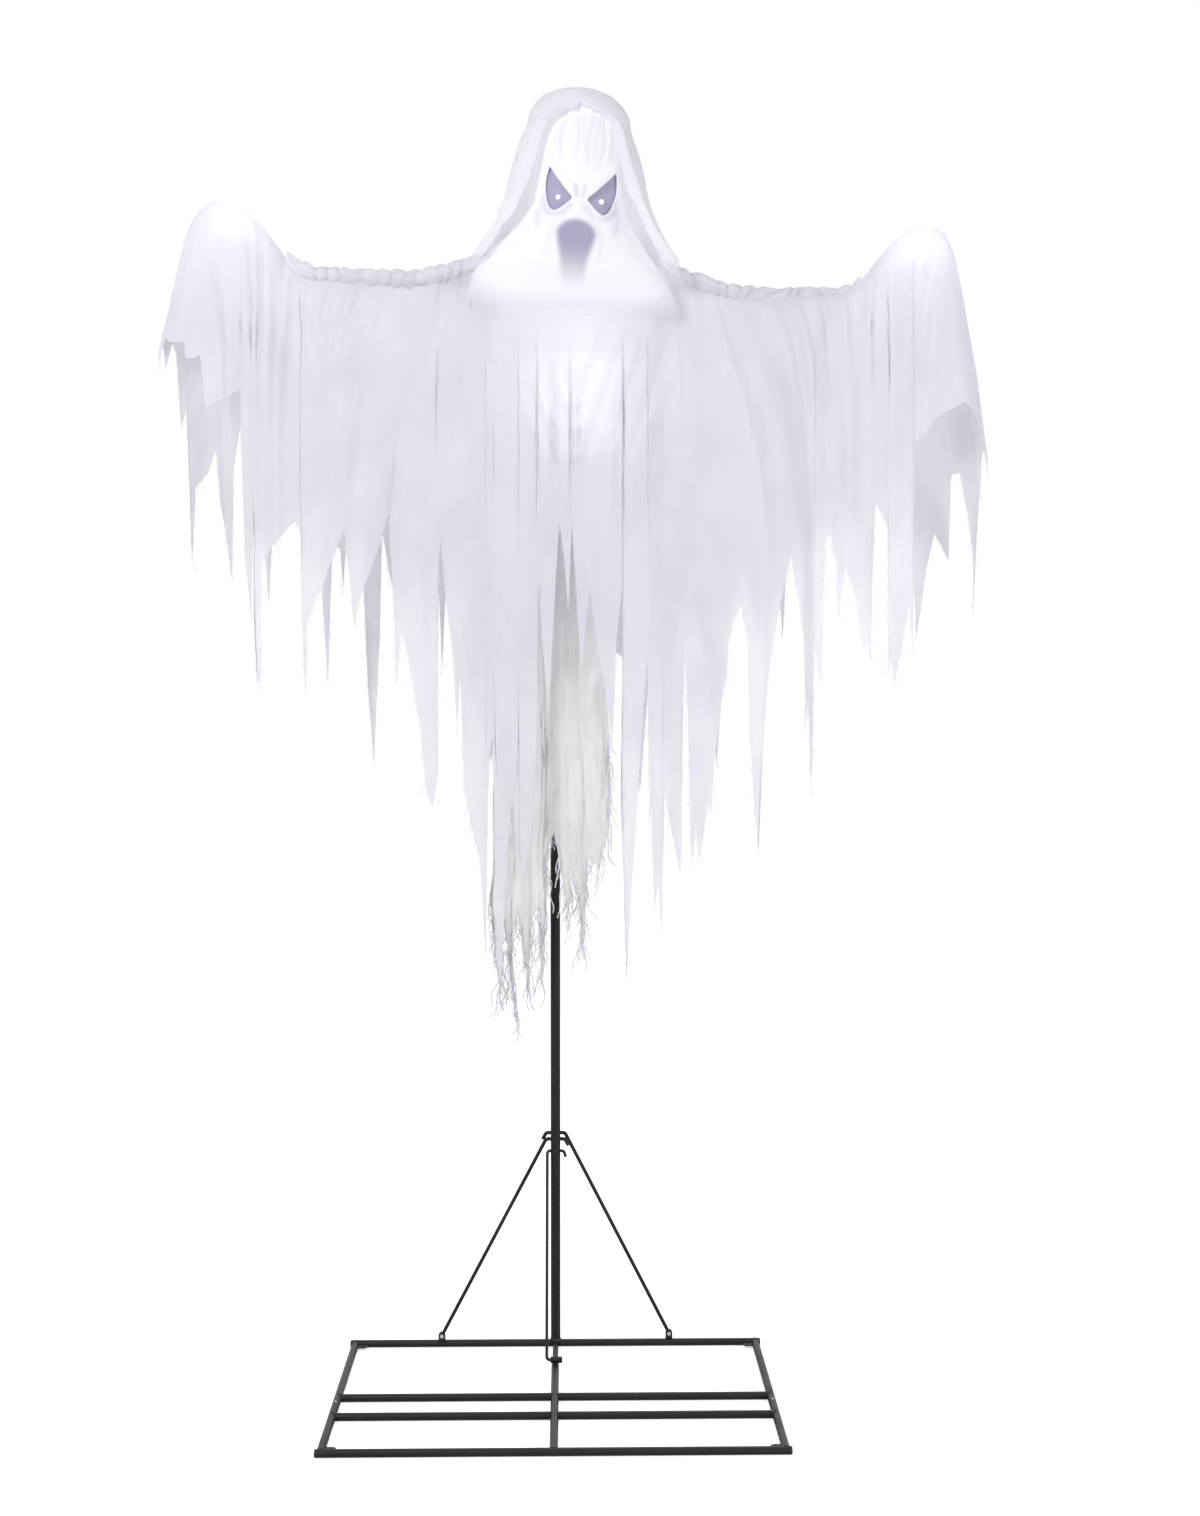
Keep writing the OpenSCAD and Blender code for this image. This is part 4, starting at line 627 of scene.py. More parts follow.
back_hem = [
    (-1.058, 2.637), (-1.042, 2.637), (-1.030, 2.607), (-1.023, 2.419), (-1.009, 2.463), (-0.999, 2.071),
    (-0.989, 2.262), (-0.958, 2.298), (-0.936, 2.360), (-0.926, 2.226), (-0.895, 2.020), (-0.890, 2.304),
    (-0.859, 2.489), (-0.833, 2.227), (-0.810, 2.123), (-0.797, 1.968), (-0.785, 2.175), (-0.713, 2.201),
    (-0.667, 2.111), (-0.655, 1.942), (-0.644, 1.745), (-0.637, 1.968), (-0.630, 2.111), (-0.610, 2.103),
    (-0.602, 1.999), (-0.593, 2.149), (-0.553, 2.111), (-0.541, 1.735), (-0.527, 1.542), (-0.511, 1.865),
    (-0.504, 2.150), (-0.489, 2.059), (-0.469, 1.964), (-0.450, 2.125), (-0.409, 2.074), (-0.390, 1.865),
    (-0.366, 2.114), (-0.356, 1.970), (-0.348, 1.792), (-0.338, 2.023), (-0.322, 2.076), (-0.277, 1.735),
    (-0.235, 1.597), (-0.222, 1.544), (-0.198, 1.735), (-0.167, 1.814), (-0.149, 1.443), (-0.135, 1.390),
    (-0.119, 1.735), (-0.079, 1.867), (0.000, 1.894), (0.045, 1.867), (0.069, 1.677), (0.096, 1.841),
    (0.143, 1.814), (0.173, 1.469), (0.194, 1.735), (0.225, 1.841), (0.246, 1.470), (0.264, 1.867), (0.303, 2.077),
    (0.329, 1.866), (0.371, 1.551), (0.386, 1.735), (0.411, 1.970), (0.444, 2.074), (0.478, 1.865), (0.503, 2.073),
    (0.532, 1.995), (0.543, 1.876), (0.552, 2.073), (0.586, 2.151), (0.602, 1.969), (0.617, 2.125), (0.654, 2.229),
    (0.675, 2.112), (0.695, 2.229), (0.737, 2.177), (0.757, 1.969), (0.771, 2.203), (0.819, 2.255), (0.854, 2.230),
    (0.867, 2.346), (0.877, 2.256), (0.887, 2.074), (0.900, 1.871), (0.923, 2.048), (0.944, 2.144), (0.961, 2.113),
    (0.980, 2.074), (0.985, 2.297), (1.007, 2.302), (1.033, 2.173), (1.044, 2.074), (1.045, 1.946), (1.058, 2.300),
]


def hem_at(x, hem):
    """Height of the hem at x. Each edge is a little hollow."""
    needle = 1.06
    hx, hz = np.array(hem).T
    k = np.clip(np.searchsorted(hx, x, side="right") - 1, 0, len(hem) - 2)
    t = np.clip((x - hx[k]) / (hx[k + 1] - hx[k]), 0, 1)
    down = hz[k + 1] < hz[k]
    shaped = np.where(down, t ** needle, 1 - (1 - t) ** needle)
    return hz[k] + (hz[k + 1] - hz[k]) * shaped


def strip_of(x, hem):
    """For each column: the strip's middle, the height of its lower notch and a number for the strip."""
    hx, hz = np.array(hem).T
    tips = [i for i in range(1, len(hem) - 1) if hz[i] <= hz[i - 1] and hz[i] < hz[i + 1]]
    cuts = [0] + [a + int(np.argmax(hz[a:b + 1])) for a, b in zip(tips[:-1], tips[1:])] + [len(hem) - 1]
    which = np.clip(np.searchsorted(hx[cuts], x, side="right") - 1, 0, len(tips) - 1)
    notch = np.array([min(hz[a], hz[b]) for a, b in zip(cuts[:-1], cuts[1:])])
    return hx[np.array(tips)][which], notch[which], which


print("tips and notches in the front hem:", len(front_hem))

# %% [markdown]
# ### Hanging the sheets
# The front sheet runs from cuff to cuff, over both arms and the chest. The back sheet does the same behind the pole.
# Fine pleats start at the gathering on the arm and open out lower down. Swags run from each hand towards the body.
# Below its notch a strip is free, so it turns a little and sways.

# %% Front and back sheets
panel_y = {-1: (0.166, 0.048), 1: (0.396, -0.066)}
neck_z = [2.450, 2.520, 2.580, 2.640, 2.690, 2.730, 2.765, 2.792]
neck_half_width = [0.300, 0.300, 0.298, 0.290, 0.280, 0.268, 0.254, 0.238]
neck_depth = [0.044, 0.052, 0.060, 0.070, 0.079, 0.089, 0.100, 0.109]


def onto_neck(x, y, z):
    """The front of the robe comes forward at the neck, to meet the cloth below the mouth."""
    round_off = np.sqrt(np.maximum(1 - (x / np.interp(z, neck_z, neck_half_width)) ** 2, 0))
    neck_y = head_y - np.interp(z, neck_z, neck_depth) * round_off + 0.008
    behind = y - neck_y
    forward = (behind + np.sqrt(behind ** 2 + 0.014 ** 2)) / 2
    return y - forward * ease(z, 2.42, 2.62) * (1 - ease(np.abs(x), 0.17, 0.29))


def fold_moves(x, z, fall, side, seed):
    """How far the cloth stands out at each point, from its pleats, folds and swags."""
    # pleats start at the gathering and lean towards the hand, then open into broad folds
    a = np.abs(x)
    slant = 0.50 * np.exp(-((a - 0.52) / 0.17) ** 2) - 0.45 * np.exp(-((a - 0.92) / 0.10) ** 2)
    drift = x - np.sign(x) * slant * 0.30 * (1 - np.exp(-fall / 0.30)) + 0.020 * waves(x / 0.25, z / 0.55, seed + 1)
    fine = waves(drift / 0.013, z / 0.7, seed + 5)
    pleat = waves(drift / 0.042, z / 1.1, seed + 7)
    fold = waves(drift / 0.105, z / 1.5, seed + 9)
    broad = waves(drift / 0.21 + 3.1, z / 1.6, seed + 13)
    move = 0.0050 * fine * ease(fall, 0.0, 0.03) * (1 - 0.90 * ease(fall, 0.04, 0.30))
    move += 0.0085 * (1 - 2 * np.abs(pleat) ** 1.3) * ease(fall, 0.01, 0.14) * (1 - 0.35 * ease(fall, 0.3, 0.7))
    move += (0.021 * (1 - 2 * np.abs(fold) ** 1.7) + 0.018 * broad) * ease(fall, 0.02, 0.30)
    # swags from the hands
    for sign in (-1, 1):
        along, drop = (sign * 0.845 - x) * sign, pivot_z + 0.05 - z
        turn_to = np.arctan2(along, np.maximum(drop, 0.02))
        far = np.hypot(along, drop)
        near = ease(far, 0.08, 0.22) * np.exp(-(far / 0.58) ** 2) * ease(along, -0.08, 0.08)
        move += 0.024 * near * np.cos(turn_to * 6.5 + 1.3 * waves(far / 0.25, far * 0, seed + 11))
    # a calm chest, with V folds in front
    chest_part = np.exp(-(x / 0.17) ** 2) * ease(z, 2.25, 2.40) * (1 - ease(z, 2.58, 2.69)) * (side < 0)
    move *= 1 - 0.80 * np.exp(-(x / 0.22) ** 2) * ease(z, 2.20, 2.46)
    return move + 0.010 * chest_part * np.cos((np.hypot(x, 0.02) * 1.9 - (z - 2.3) * 0.62) * 62.0)


def turn_strips(xs, x, z, low, hem, seed):
    """Strips turn, lean and sway below their notches: the new x, and two moves in y."""
    centre, notch, which = strip_of(xs, hem)
    drop = np.maximum(notch - z, 0)
    spin, sway, lean = ((lattice(which, which * 0 + k, seed) * 2 - 1) * most
                        for k, most in ((1, 0.65), (2, 0.035), (3, 0.010)))
    long_drop = np.maximum(notch - low, 0.05)
    angle = spin * ease(drop, 0.0, 0.42) * ease(drop, 0.0, 0.7)
    off = x - centre
    part = np.clip(drop / long_drop, 0, 1)
    x = centre + off * np.cos(angle) + lean * np.sin(math.pi * part) * ease(long_drop, 0.1, 0.6)
    return x, off * np.sin(angle), sway * ease(drop, 0.0, 0.8) * 0.6


def columns(start, end, step, hem):
    """The x of each column: even steps, and every tip and notch."""
    return np.unique(np.round(np.concatenate([np.arange(start, end + 0.0001, step), [p[0] for p in hem]]), 4))


robe_rows = 96


def hang(hem, side, seed):
    """Columns, points and flat map of one sheet: side -1 hangs in front of the arms, 1 behind."""
    xs = columns(-cuff_x, cuff_x, 0.005, hem + [(0.0, 0.0)])
    top, gap, low = ridge(xs), arch(xs), hem_at(xs, hem)
    low = low + 0.003 * waves(xs / 0.006, xs * 0, seed + 3)
    low = np.minimum(low, top - 0.06)
    wing = ease(np.abs(xs), 0.10, 0.26)
    plane_y = panel_y[side][0] + panel_y[side][1] * ease(np.abs(xs), 0.13, 0.38)
    top_y = plane_y * (1 - wing) + arm_y * wing
    belly = (plane_y - (arm_y + side * gap)) * wing * (1 - ease(np.abs(xs), 0.42, 0.64))
    bend = gap * math.pi / 2
    length = bend + (top - gap - low)
    s = np.linspace(0, 1, robe_rows)[:, None] * length[None, :]
    turn = np.clip(s / gap, 0, math.pi / 2)
    z = top - gap + gap * np.cos(turn) - np.maximum(s - bend, 0)
    out = gap * np.sin(turn)
    fall = np.maximum(top - z, 0)
    x = np.broadcast_to(xs, s.shape)
    y = top_y + side * (out * wing + fold_moves(x, z, fall, side, seed)) + belly * ease(fall, 0.01, 0.32)
    x, turned, swayed = turn_strips(xs, x, z, low, hem, seed)
    y = y + turned + swayed
    if side < 0:
        y = onto_neck(x, y, z)
    across = np.concatenate([[0], np.cumsum(np.hypot(np.diff(xs), 0.006))])
    return xs, np.stack([x, y, z], -1), np.stack([np.broadcast_to(across, s.shape), s], -1)


def halves(name, hem, side, seed, finish):
    xs, points, cut = hang(hem, side, seed)
    # the back sheet gets a weaker painted glow
    lit = glow_at(points) * (0.75 if side > 0 else 1.0)
    return [sheet_mesh(f"{name}_{label}", points[:, keep], cut[:, keep], lit[:, keep], finish, side < 0)
            for label, keep in (("left", xs <= 0), ("right", xs >= 0))]


front_left, front_right = halves("robe_front", front_hem, -1, 11, robe_voile)
back_left, back_right = halves("robe_back", back_hem, 1, 29, back_voile)
robe = (front_left, front_right, back_left, back_right)
for sheet in robe:
    print(sheet.name, "faces", len(sheet.data.polygons), "area", round(cloth_area(sheet), 3), "m2")

# %% [markdown]
# ## The gathered casing on the arms
# Along each arm the cloth is scrunched on the tube into a soft rope of ruffles. It is a tube of cloth round the arm's
# line whose radius goes in and out with slanting creases.

# %% Ruffled casings
def arm_line(side, count=240):
    a = np.linspace(0.150, 0.735, count)
    up = np.interp(a, reach, rise) * 0.92
    z = pivot_z + up - side * arm_lean * (a - pivot_x) + shoulder_cap(a) - (0.008 if side > 0 else 0.0)
    return np.stack([side * a, np.full(count, arm_y), z], -1), a


def casing(name, side, seed):
    line, a = arm_line(side)
    ring, along = np.meshgrid(np.linspace(0, 2 * math.pi, 40), a)
    tilt = 1.1 * waves(along / 0.09, along * 0, seed + 7)
    slant = along / 0.0125 + tilt * np.sin(ring + 0.8) + 1.7 * waves(along / 0.045, np.sin(ring) * 1.3, seed)
    crease = np.abs(np.sin(slant)) ** 0.7
    rag = 0.5 + 0.5 * waves(along / 0.030, np.cos(ring) * 2.0, seed + 2)
    radius = 0.0125 + 0.0090 * crease + 0.0065 * rag
    radius = radius * (0.80 + 0.20 * ease(along, 0.150, 0.20))
    y = line[:, None, 1] + radius * np.sin(ring) * 0.95
    z = line[:, None, 2] + 0.002 + radius * np.cos(ring) * 1.10
    x = line[:, None, 0] + side * 0.004 * waves(along / 0.02, ring, seed + 4)
    points = np.stack([x, y, z], -1)
    cut = np.stack([ring * 0.03, along * 2.2], -1)
    return sheet_mesh(name, points, cut, glow_at(points) * 0.9, robe_voile, side < 0)


left_casing = casing("arm_casing_left", -1, 41)
right_casing = casing("arm_casing_right", 1, 43)
print("casings:", round(cloth_area(left_casing), 3), round(cloth_area(right_casing), 3), "m2")

# %% [markdown]
# ## The inner lining
# Inside the robe hangs a crumpled tube of warm grey gauze that ends in frayed tails. It is cut narrower than the robe
# and its folds are deeper and more broken, because gauze that was packed keeps its creases.

# %% Gauze lining
lining_hem = [
    (-0.215, 1.20), (-0.207, 1.00), (-0.200, 0.93), (-0.192, 1.10), (-0.182, 1.18), (-0.172, 1.02), (-0.164, 0.90),
    (-0.156, 1.10), (-0.142, 1.16), (-0.130, 1.04), (-0.122, 0.96), (-0.114, 1.14), (-0.100, 1.17), (-0.092, 1.03),
    (-0.086, 0.98), (-0.080, 1.20), (-0.070, 1.33), (-0.055, 1.37), (-0.045, 1.30), (-0.035, 1.20), (-0.026, 1.16),
    (-0.018, 1.24), (-0.008, 1.27), (0.006, 1.14), (0.014, 1.06), (0.022, 1.22), (0.040, 1.30), (0.066, 1.28),
    (0.090, 1.38), (0.112, 1.62),
]


lining_top, lining_rows = 2.335, 120


def lining_sheet(seed=61):
    xs = columns(-0.215, 0.112, 0.004, lining_hem)
    low = hem_at(xs, lining_hem) + 0.008 * waves(xs / 0.005, xs * 0, seed)
    t = np.linspace(0, 1, lining_rows)[:, None]
    z = lining_top + (low[None, :] - lining_top) * t
    x = np.broadcast_to(xs, z.shape)
    hang_in = ease(lining_top - z, 0.0, 0.5)
    narrow = 0.62 + 0.38 * hang_in
    squeeze = 1 - 0.18 * np.exp(-((z - 1.75) / 0.18) ** 2)
    middle_x = -0.05 * hang_in
    px = middle_x + (x + 0.05) * narrow * squeeze + 0.010 * waves(x / 0.05, z / 0.13, seed + 1)
    crumple = 0.016 * waves(x / 0.045 + 0.7 * waves(x / 0.1, z / 0.12, seed + 2), z / 0.30, seed + 3)
    crumple += 0.009 * waves(x / 0.022, z / 0.075, seed + 4) + 0.004 * waves(x / 0.010, z / 0.03, seed + 5)
    crumple *= ease(lining_top - z, 0.0, 0.12)
    centre, notch, which = strip_of(xs, lining_hem)
    drop = np.maximum(notch - z, 0)
    angle = (lattice(which, which * 0 + 5, seed) * 2 - 1) * 1.3 * ease(drop, 0, 0.3)
    off = (x - centre) * narrow
    py = 0.270 + crumple * 0.8 + off * np.sin(angle)
    px = px - off * (1 - np.cos(angle))
    points = np.stack([px, py, z], -1)
    cut = np.stack([np.broadcast_to(xs + 0.3, z.shape), lining_top - z], -1)
    return sheet_mesh("gauze_lining", points, cut, glow_at(points) * 0.5, gauze, True)


lining = lining_sheet()
print("lining:", round(cloth_area(lining), 3), "m2")

# %% [markdown]
# ## The hood
# The hood is one piece of the same voile laid over the head, open at the face, with its sides falling on the
# shoulders. It could be pinned and simulated, but its rim has to frame the face just so. It is drawn in rings from
# the crown down: each ring is open at the front by its own angle, its rim is rolled, and folds deepen towards the
# hem.

# %% Hood rings: radius, height above the head's base, half opening in degrees
hood_rows = np.array([
    [0.003, 0.4065, -1], [0.030, 0.4062, -1], [0.060, 0.4030, -1], [0.088, 0.3905, -1], [0.108, 0.3690, -1],
    [0.121, 0.3480, 0], [0.127, 0.3350, 15], [0.132, 0.3230, 27], [0.137, 0.3080, 36], [0.143, 0.2880, 40],
    [0.150, 0.2620, 41], [0.159, 0.2260, 42], [0.167, 0.1900, 43], [0.172, 0.1600, 45], [0.179, 0.1300, 48],
    [0.187, 0.1030, 53], [0.197, 0.0780, 57], [0.212, 0.0450, 62], [0.230, 0.0150, 65], [0.250, -0.0150, 66],
    [0.264, -0.0450, 66], [0.272, -0.0800, 65], [0.276, -0.1150, 64], [0.278, -0.1500, 63],
])

no_robe = 9.0
robe_skin = [BVHTree.FromPolygons([v.co for v in sheet.data.vertices], [p.vertices for p in sheet.data.polygons])
             for sheet in (front_left, front_right)]


def robe_face(x, z):
    """The y of the robe's front at each place, or a far value where there is none."""
    found = np.full(x.shape, no_robe)
    for k, (px, pz) in enumerate(zip(x.ravel(), z.ravel())):
        hit = robe_skin[0 if px < 0 else 1].ray_cast(Vector((px, -1.0, pz)), Vector((0, 1, 0)))[0]
        if hit is not None:
            found.flat[k] = hit.y
    return found


def lean_hood(local):
    """Hood points from the head's frame to the object's frame; the cloth leans less than the head."""
    flat = local.reshape(-1, 3)
    turn = np.array(Matrix.Rotation(math.radians(1.5), 3, "Y"))
    return (flat @ turn.T + np.array(head_base)).reshape(local.shape)


def hood_sheet(seed=71, rows=130, across=210):
    t = np.linspace(0, 1, rows)
    k = np.linspace(0, 1, len(hood_rows))
    r = np.interp(t, k, hood_rows[:, 0])[:, None]
    h = np.interp(t, k, hood_rows[:, 1])[:, None]
    opening = np.radians(np.interp(t, k, hood_rows[:, 2]))[:, None]
    u = np.linspace(-1, 1, across)[None, :]
    a = u * (math.pi - opening)
    down = t[:, None] + 0 * u
    deep = 0.86 - 0.24 * ease(down, 0.62, 1.0)
    edge = 1 - np.abs(u)
    fold = 0.0085 * waves(a * 3.2 + 0.8 * down, down * 1.7, seed) * ease(down, 0.10, 0.4)
    fold += 0.0060 * (1 - 2 * np.abs(waves(a * 6.5, down * 1.6, seed + 1))) * ease(down, 0.25, 0.6)
    fold += 0.0120 * waves(a * 5.0, down * 2.4, seed + 2) * ease(down, 0.6, 1.0)
    # soft creases that run from the rim to the crown
    fold += 0.0050 * np.cos(a * 2.0 - down * 16.0) * ease(down, 0.06, 0.16) * (1 - ease(down, 0.30, 0.5))
    still = 0.8 * np.exp(-(edge / 0.10) ** 2) * (1 - ease(down, 0.40, 0.60))
    fold = np.maximum(fold, -0.003 - 0.02 * ease(down, 0.45, 0.7)) * (1 - still)
    rim = np.exp(-((edge - 0.045) / 0.030) ** 2) * ease(down, 0.20, 0.27)
    tuck = np.exp(-(edge / 0.020) ** 2) * ease(down, 0.24, 0.30)
    rr = r + fold + 0.012 * rim - 0.012 * tuck
    to_front, to_back = ease(-np.cos(a), -0.12, 0.20), ease(np.cos(a), 0.35, 0.62)
    free = np.maximum(to_front, 0.85 * to_back)
    rr = np.where(h < 0.03, 0.219 + fold + 0.012 * rim - 0.012 * tuck + (r - 0.219) * (0.30 + 0.70 * free), rr)
    h = np.where(h < 0.03, 0.03 + (h - 0.03) * (0.16 + 0.84 * free), h)
    deep = deep + 0.16 * ease(down, 0.62, 1.0) * to_back
    x = rr * np.sin(a)
    y = deep * rr * np.cos(a)
    z = h + 0.005 * waves(a * 4.0, down * 4, seed + 3) * ease(down, 0.05, 0.3) * (1 - ease(down, 0.9, 1.0))
    z = z + 0.014 * waves(a * 3.5, a * 0 + 3.1, seed + 6) * ease(down, 0.85, 1.0)
    points = lean_hood(np.stack([x, y, z], -1))
    on_robe = robe_face(points[..., 0], points[..., 2]) - 0.004
    rest = ease(down, 0.66, 0.80) * to_front
    points[..., 1] = points[..., 1] * (1 - rest) + np.minimum(points[..., 1], on_robe) * rest
    ends = ease(down, 0.78, 1.0) * to_front
    laid = points[..., 1] * (1 - ends) + (on_robe + 0.001) * ends
    points[..., 1] = np.where(on_robe < no_robe / 2, laid, points[..., 1])
    cut = np.stack([a * r + 1.0, down * 0.66], -1)
    front = ease(-np.cos(a), -0.14, 0.08)
    fade = ease(down, 0.79, 0.90) * front + 0.3 * ease(down, 0.95, 1.0) * (1 - front)
    return sheet_mesh("hood_cloth", points, cut, glow_at(points) * 0.55, hood_voile, fade=fade)


hood = hood_sheet()
print("hood:", round(cloth_area(hood), 3), "m2")

# %% [markdown]
# ## The face
# The face is a thin moulded mask with slanted eyes, and below the mouth the sheer cloth of the neck runs on from
# it, so that no edge shows. To get clean eye openings, the face is unrolled flat, the outlines are drawn on it and
# the sheet between them is triangulated, then it is rolled back on the head and pressed into brows, cheeks and
# creases, which also get a painted shade. The mouth is a hollow behind the cloth, so it is pressed in softly and
# painted a soft grey with no hard edge: partly the grey screen behind the cloth, partly painted shade in the hollow.

# %% Outlines of the face
head_profile = np.array([
    # height, half width, depth to the front
    (-0.290, 0.300, 0.058), (-0.200, 0.290, 0.070), (-0.150, 0.280, 0.079), (-0.110, 0.268, 0.089),
    (-0.075, 0.254, 0.100), (-0.048, 0.238, 0.109), (-0.020, 0.216, 0.115), (0.014, 0.186, 0.1185),
    (0.055, 0.153, 0.125), (0.100, 0.1285, 0.1285), (0.145, 0.130, 0.130), (0.195, 0.1270, 0.1270),
    (0.245, 0.121, 0.121), (0.290, 0.1105, 0.1105), (0.325, 0.098, 0.098), (0.355, 0.081, 0.081),
    (0.380, 0.058, 0.058), (0.4005, 0.016, 0.016),
])
eye = [(0.080, 0.182), (0.087, 0.152), (0.084, 0.115), (0.072, 0.085), (0.058, 0.074), (0.040, 0.084),
       (0.026, 0.098), (0.019, 0.107), (0.034, 0.124), (0.050, 0.143), (0.066, 0.164)]
mouth = [(0.0, 0.060), (0.024, 0.055), (0.042, 0.042), (0.050, 0.024), (0.047, 0.002), (0.040, -0.026),
         (0.034, -0.058), (0.029, -0.096), (0.0, -0.116), (-0.029, -0.096), (-0.034, -0.058), (-0.040, -0.026),
         (-0.047, 0.002), (-0.050, 0.024), (-0.042, 0.042), (-0.024, 0.055)]


roll_radius = 0.125  # the face is unrolled from a drum of this radius


def rounded(loop, per_side=6):
    """A smooth closed line through the loop's points."""
    n, out = len(loop), []
    p = [np.array(q) for q in loop]
    for i in range(n):
        a, b, c, d = p[i - 1], p[i], p[(i + 1) % n], p[(i + 2) % n]
        for s in np.linspace(0, 1, per_side, endpoint=False):
            out.append(0.5 * (2 * b + (c - a) * s + (2 * a - 5 * b + 4 * c - d) * s ** 2
                              + (3 * b - a - 3 * c + d) * s ** 3))
    return np.array(out)


def inside(points, loop):
    x, y = points[:, 0], points[:, 1]
    hit = np.zeros(len(points), bool)
    for (ax, ay), (bx, by) in zip(loop, np.roll(loop, -1, 0)):
        cross = (ay > y) != (by > y)
        with np.errstate(divide="ignore", invalid="ignore"):
            at = (bx - ax) * (y - ay) / (by - ay) + ax
        hit ^= cross & (x < at)
    return hit


def half_width(h):
    return np.interp(h, head_profile[:, 0], head_profile[:, 1])


def unroll(loop):
    turned = np.arcsin(np.clip(loop[:, 0] / half_width(loop[:, 1]), -1, 1))
    return np.stack([turned * roll_radius, loop[:, 1]], -1)


eye_right = rounded(eye)
eye_left = eye_right[::-1] * np.array([-1, 1])
mouth_line = rounded(mouth)
print("outline points:", len(eye_right), len(mouth_line))


# %% Press the face
def to_line(px, ph, line):
    """Distance of each point to an open line."""
    best = np.full(px.shape, np.inf)
    for (ax, ah), (bx, bh) in zip(line[:-1], line[1:]):
        ex, eh = bx - ax, bh - ah
        s = np.clip(((px - ax) * ex + (ph - ah) * eh) / (ex * ex + eh * eh), 0, 1)
        best = np.minimum(best, np.hypot(px - ax - s * ex, ph - ah - s * eh))
    return best


def mouth_shade(x, h):
    """Painted shade of the mouth: 1 in the mouth, 0 outside, soft at its edge and fading downwards."""
    spots = np.stack([x, h], -1)
    away = to_line(x, h, np.vstack([mouth_line, mouth_line[:1]]))
    signed = np.where(inside(spots, mouth_line), away, -away)
    return ease(signed, -0.006, 0.012) * ease(h, -0.120, 0.004)


def face_relief(x, h):
    """How far the face stands out, how strong the painted shade in its creases is and where the mouth is."""
    m = np.abs(x)
    up = 0.007 * np.exp(-((m - 0.062) / 0.040) ** 2 - ((h - 0.040) / 0.045) ** 2)
    up += 0.007 * np.exp(-(m / 0.015) ** 2 - ((h - 0.090) / 0.028) ** 2)
    up += 0.007 * np.exp(-(to_line(m, h, [(0.014, 0.122), (0.050, 0.160), (0.078, 0.197)]) / 0.011) ** 2)
    # each crease: its path, its width, its depth and the strength of its painted shade
    creases = [([(0.007, 0.112), (0.012, 0.140)], 0.0050, 0.0035, 0.45),
               ([(0.022, 0.088), (0.040, 0.068), (0.060, 0.062), (0.080, 0.074), (0.092, 0.096)],
                0.0065, 0.0035, 0.38),
               ([(0.018, 0.080), (0.034, 0.070), (0.054, 0.046), (0.066, 0.010), (0.068, -0.030)],
                0.0085, 0.0035, 0.16),
               ([(0.090, 0.110), (0.100, 0.080), (0.098, 0.040)], 0.0090, 0.0030, 0.25)]
    # line gathers the painted shade of the creases and forehead lines
    line = np.zeros_like(up)
    for way, width, depth, tone in creases:
        c = np.exp(-(to_line(m, h, way) / width) ** 2)
        up -= depth * c
        line = np.maximum(line, tone * c)
    # upright lines on the forehead: small pleats with a painted shade along them
    for px, low, high, tone in ((-0.060, 0.196, 0.33, 0.15), (-0.022, 0.186, 0.35, 0.15),
                                (0.012, 0.178, 0.36, 0.26), (0.046, 0.190, 0.345, 0.15)):
        sway = x - px - 0.004 * np.sin(h * 40 + px * 90)
        span = ease(h, low, low + 0.03) * (1 - ease(h, high, high + 0.03))
        up += span * (0.0040 * np.exp(-((sway - 0.008) / 0.008) ** 2) - 0.0040 * np.exp(-(sway / 0.004) ** 2))
        line = np.maximum(line, tone * np.exp(-(sway / 0.0080) ** 2) * span)
    closed = np.vstack([eye_right, eye_right[:1]])
    up += 0.0026 * np.exp(-(to_line(m, h, closed) / 0.005) ** 2)
    mouth_dip_and_shade = mouth_shade(x, h)
    up -= 0.001 * mouth_dip_and_shade
    # folds of the cloth that hangs from the chin
    low_part = 1 - ease(h, -0.12, -0.02)
    up += low_part * 0.003 * waves(x / 0.05, h / 0.25, 5)
    return up, line, mouth_dip_and_shade


face_wide, neck_wide = roll_radius * math.radians(92), roll_radius * math.radians(132)
grid = 0.0040


def flat_face():
    """The unrolled face with open eyes: its points and its triangles."""
    flat_eyes = [unroll(eye_right), unroll(eye_left)]
    gu, gh = np.meshgrid(np.arange(-neck_wide, neck_wide + 0.001, grid), np.arange(-0.284, 0.4001, grid))
    spots = np.stack([gu.ravel(), gh.ravel()], -1)
    keep = np.ones(len(spots), bool)
    for loop in flat_eyes:
        keep &= ~inside(spots, loop)
        away = np.min(np.hypot(spots[:, None, 0] - loop[None, :, 0], spots[:, None, 1] - loop[None, :, 1]), 1)
        keep &= away > 0.0018
    bib = -0.282 + 0.190 * np.minimum(np.abs(spots[:, 0] / face_wide), 1) ** 1.6
    keep &= spots[:, 1] >= bib
    keep &= (np.abs(spots[:, 0]) < face_wide) | (spots[:, 1] < 0.10)
    points, sides = [Vector(p) for p in spots[keep]], []
    for loop in flat_eyes:
        start = len(points)
        points += [Vector(p) for p in loop]
        sides += [(start + i, start + (i + 1) % len(loop)) for i in range(len(loop))]
    verts, _, faces, *_ = delaunay_2d_cdt(points, sides, [], 0, 1e-6)
    flat = np.array([tuple(v) for v in verts])
    tri = np.array([f for f in faces if len(f) == 3])
    centre = flat[tri].mean(1)
    longest = np.max(np.linalg.norm(flat[tri] - flat[np.roll(tri, 1, 1)], axis=-1), 1)
    good = longest < 3 * grid
    for loop in flat_eyes:
        good &= ~inside(centre, loop)
    return flat, tri[good]


arm_slit, slit_top, slit_inner = 0.034, 2.892, 0.13


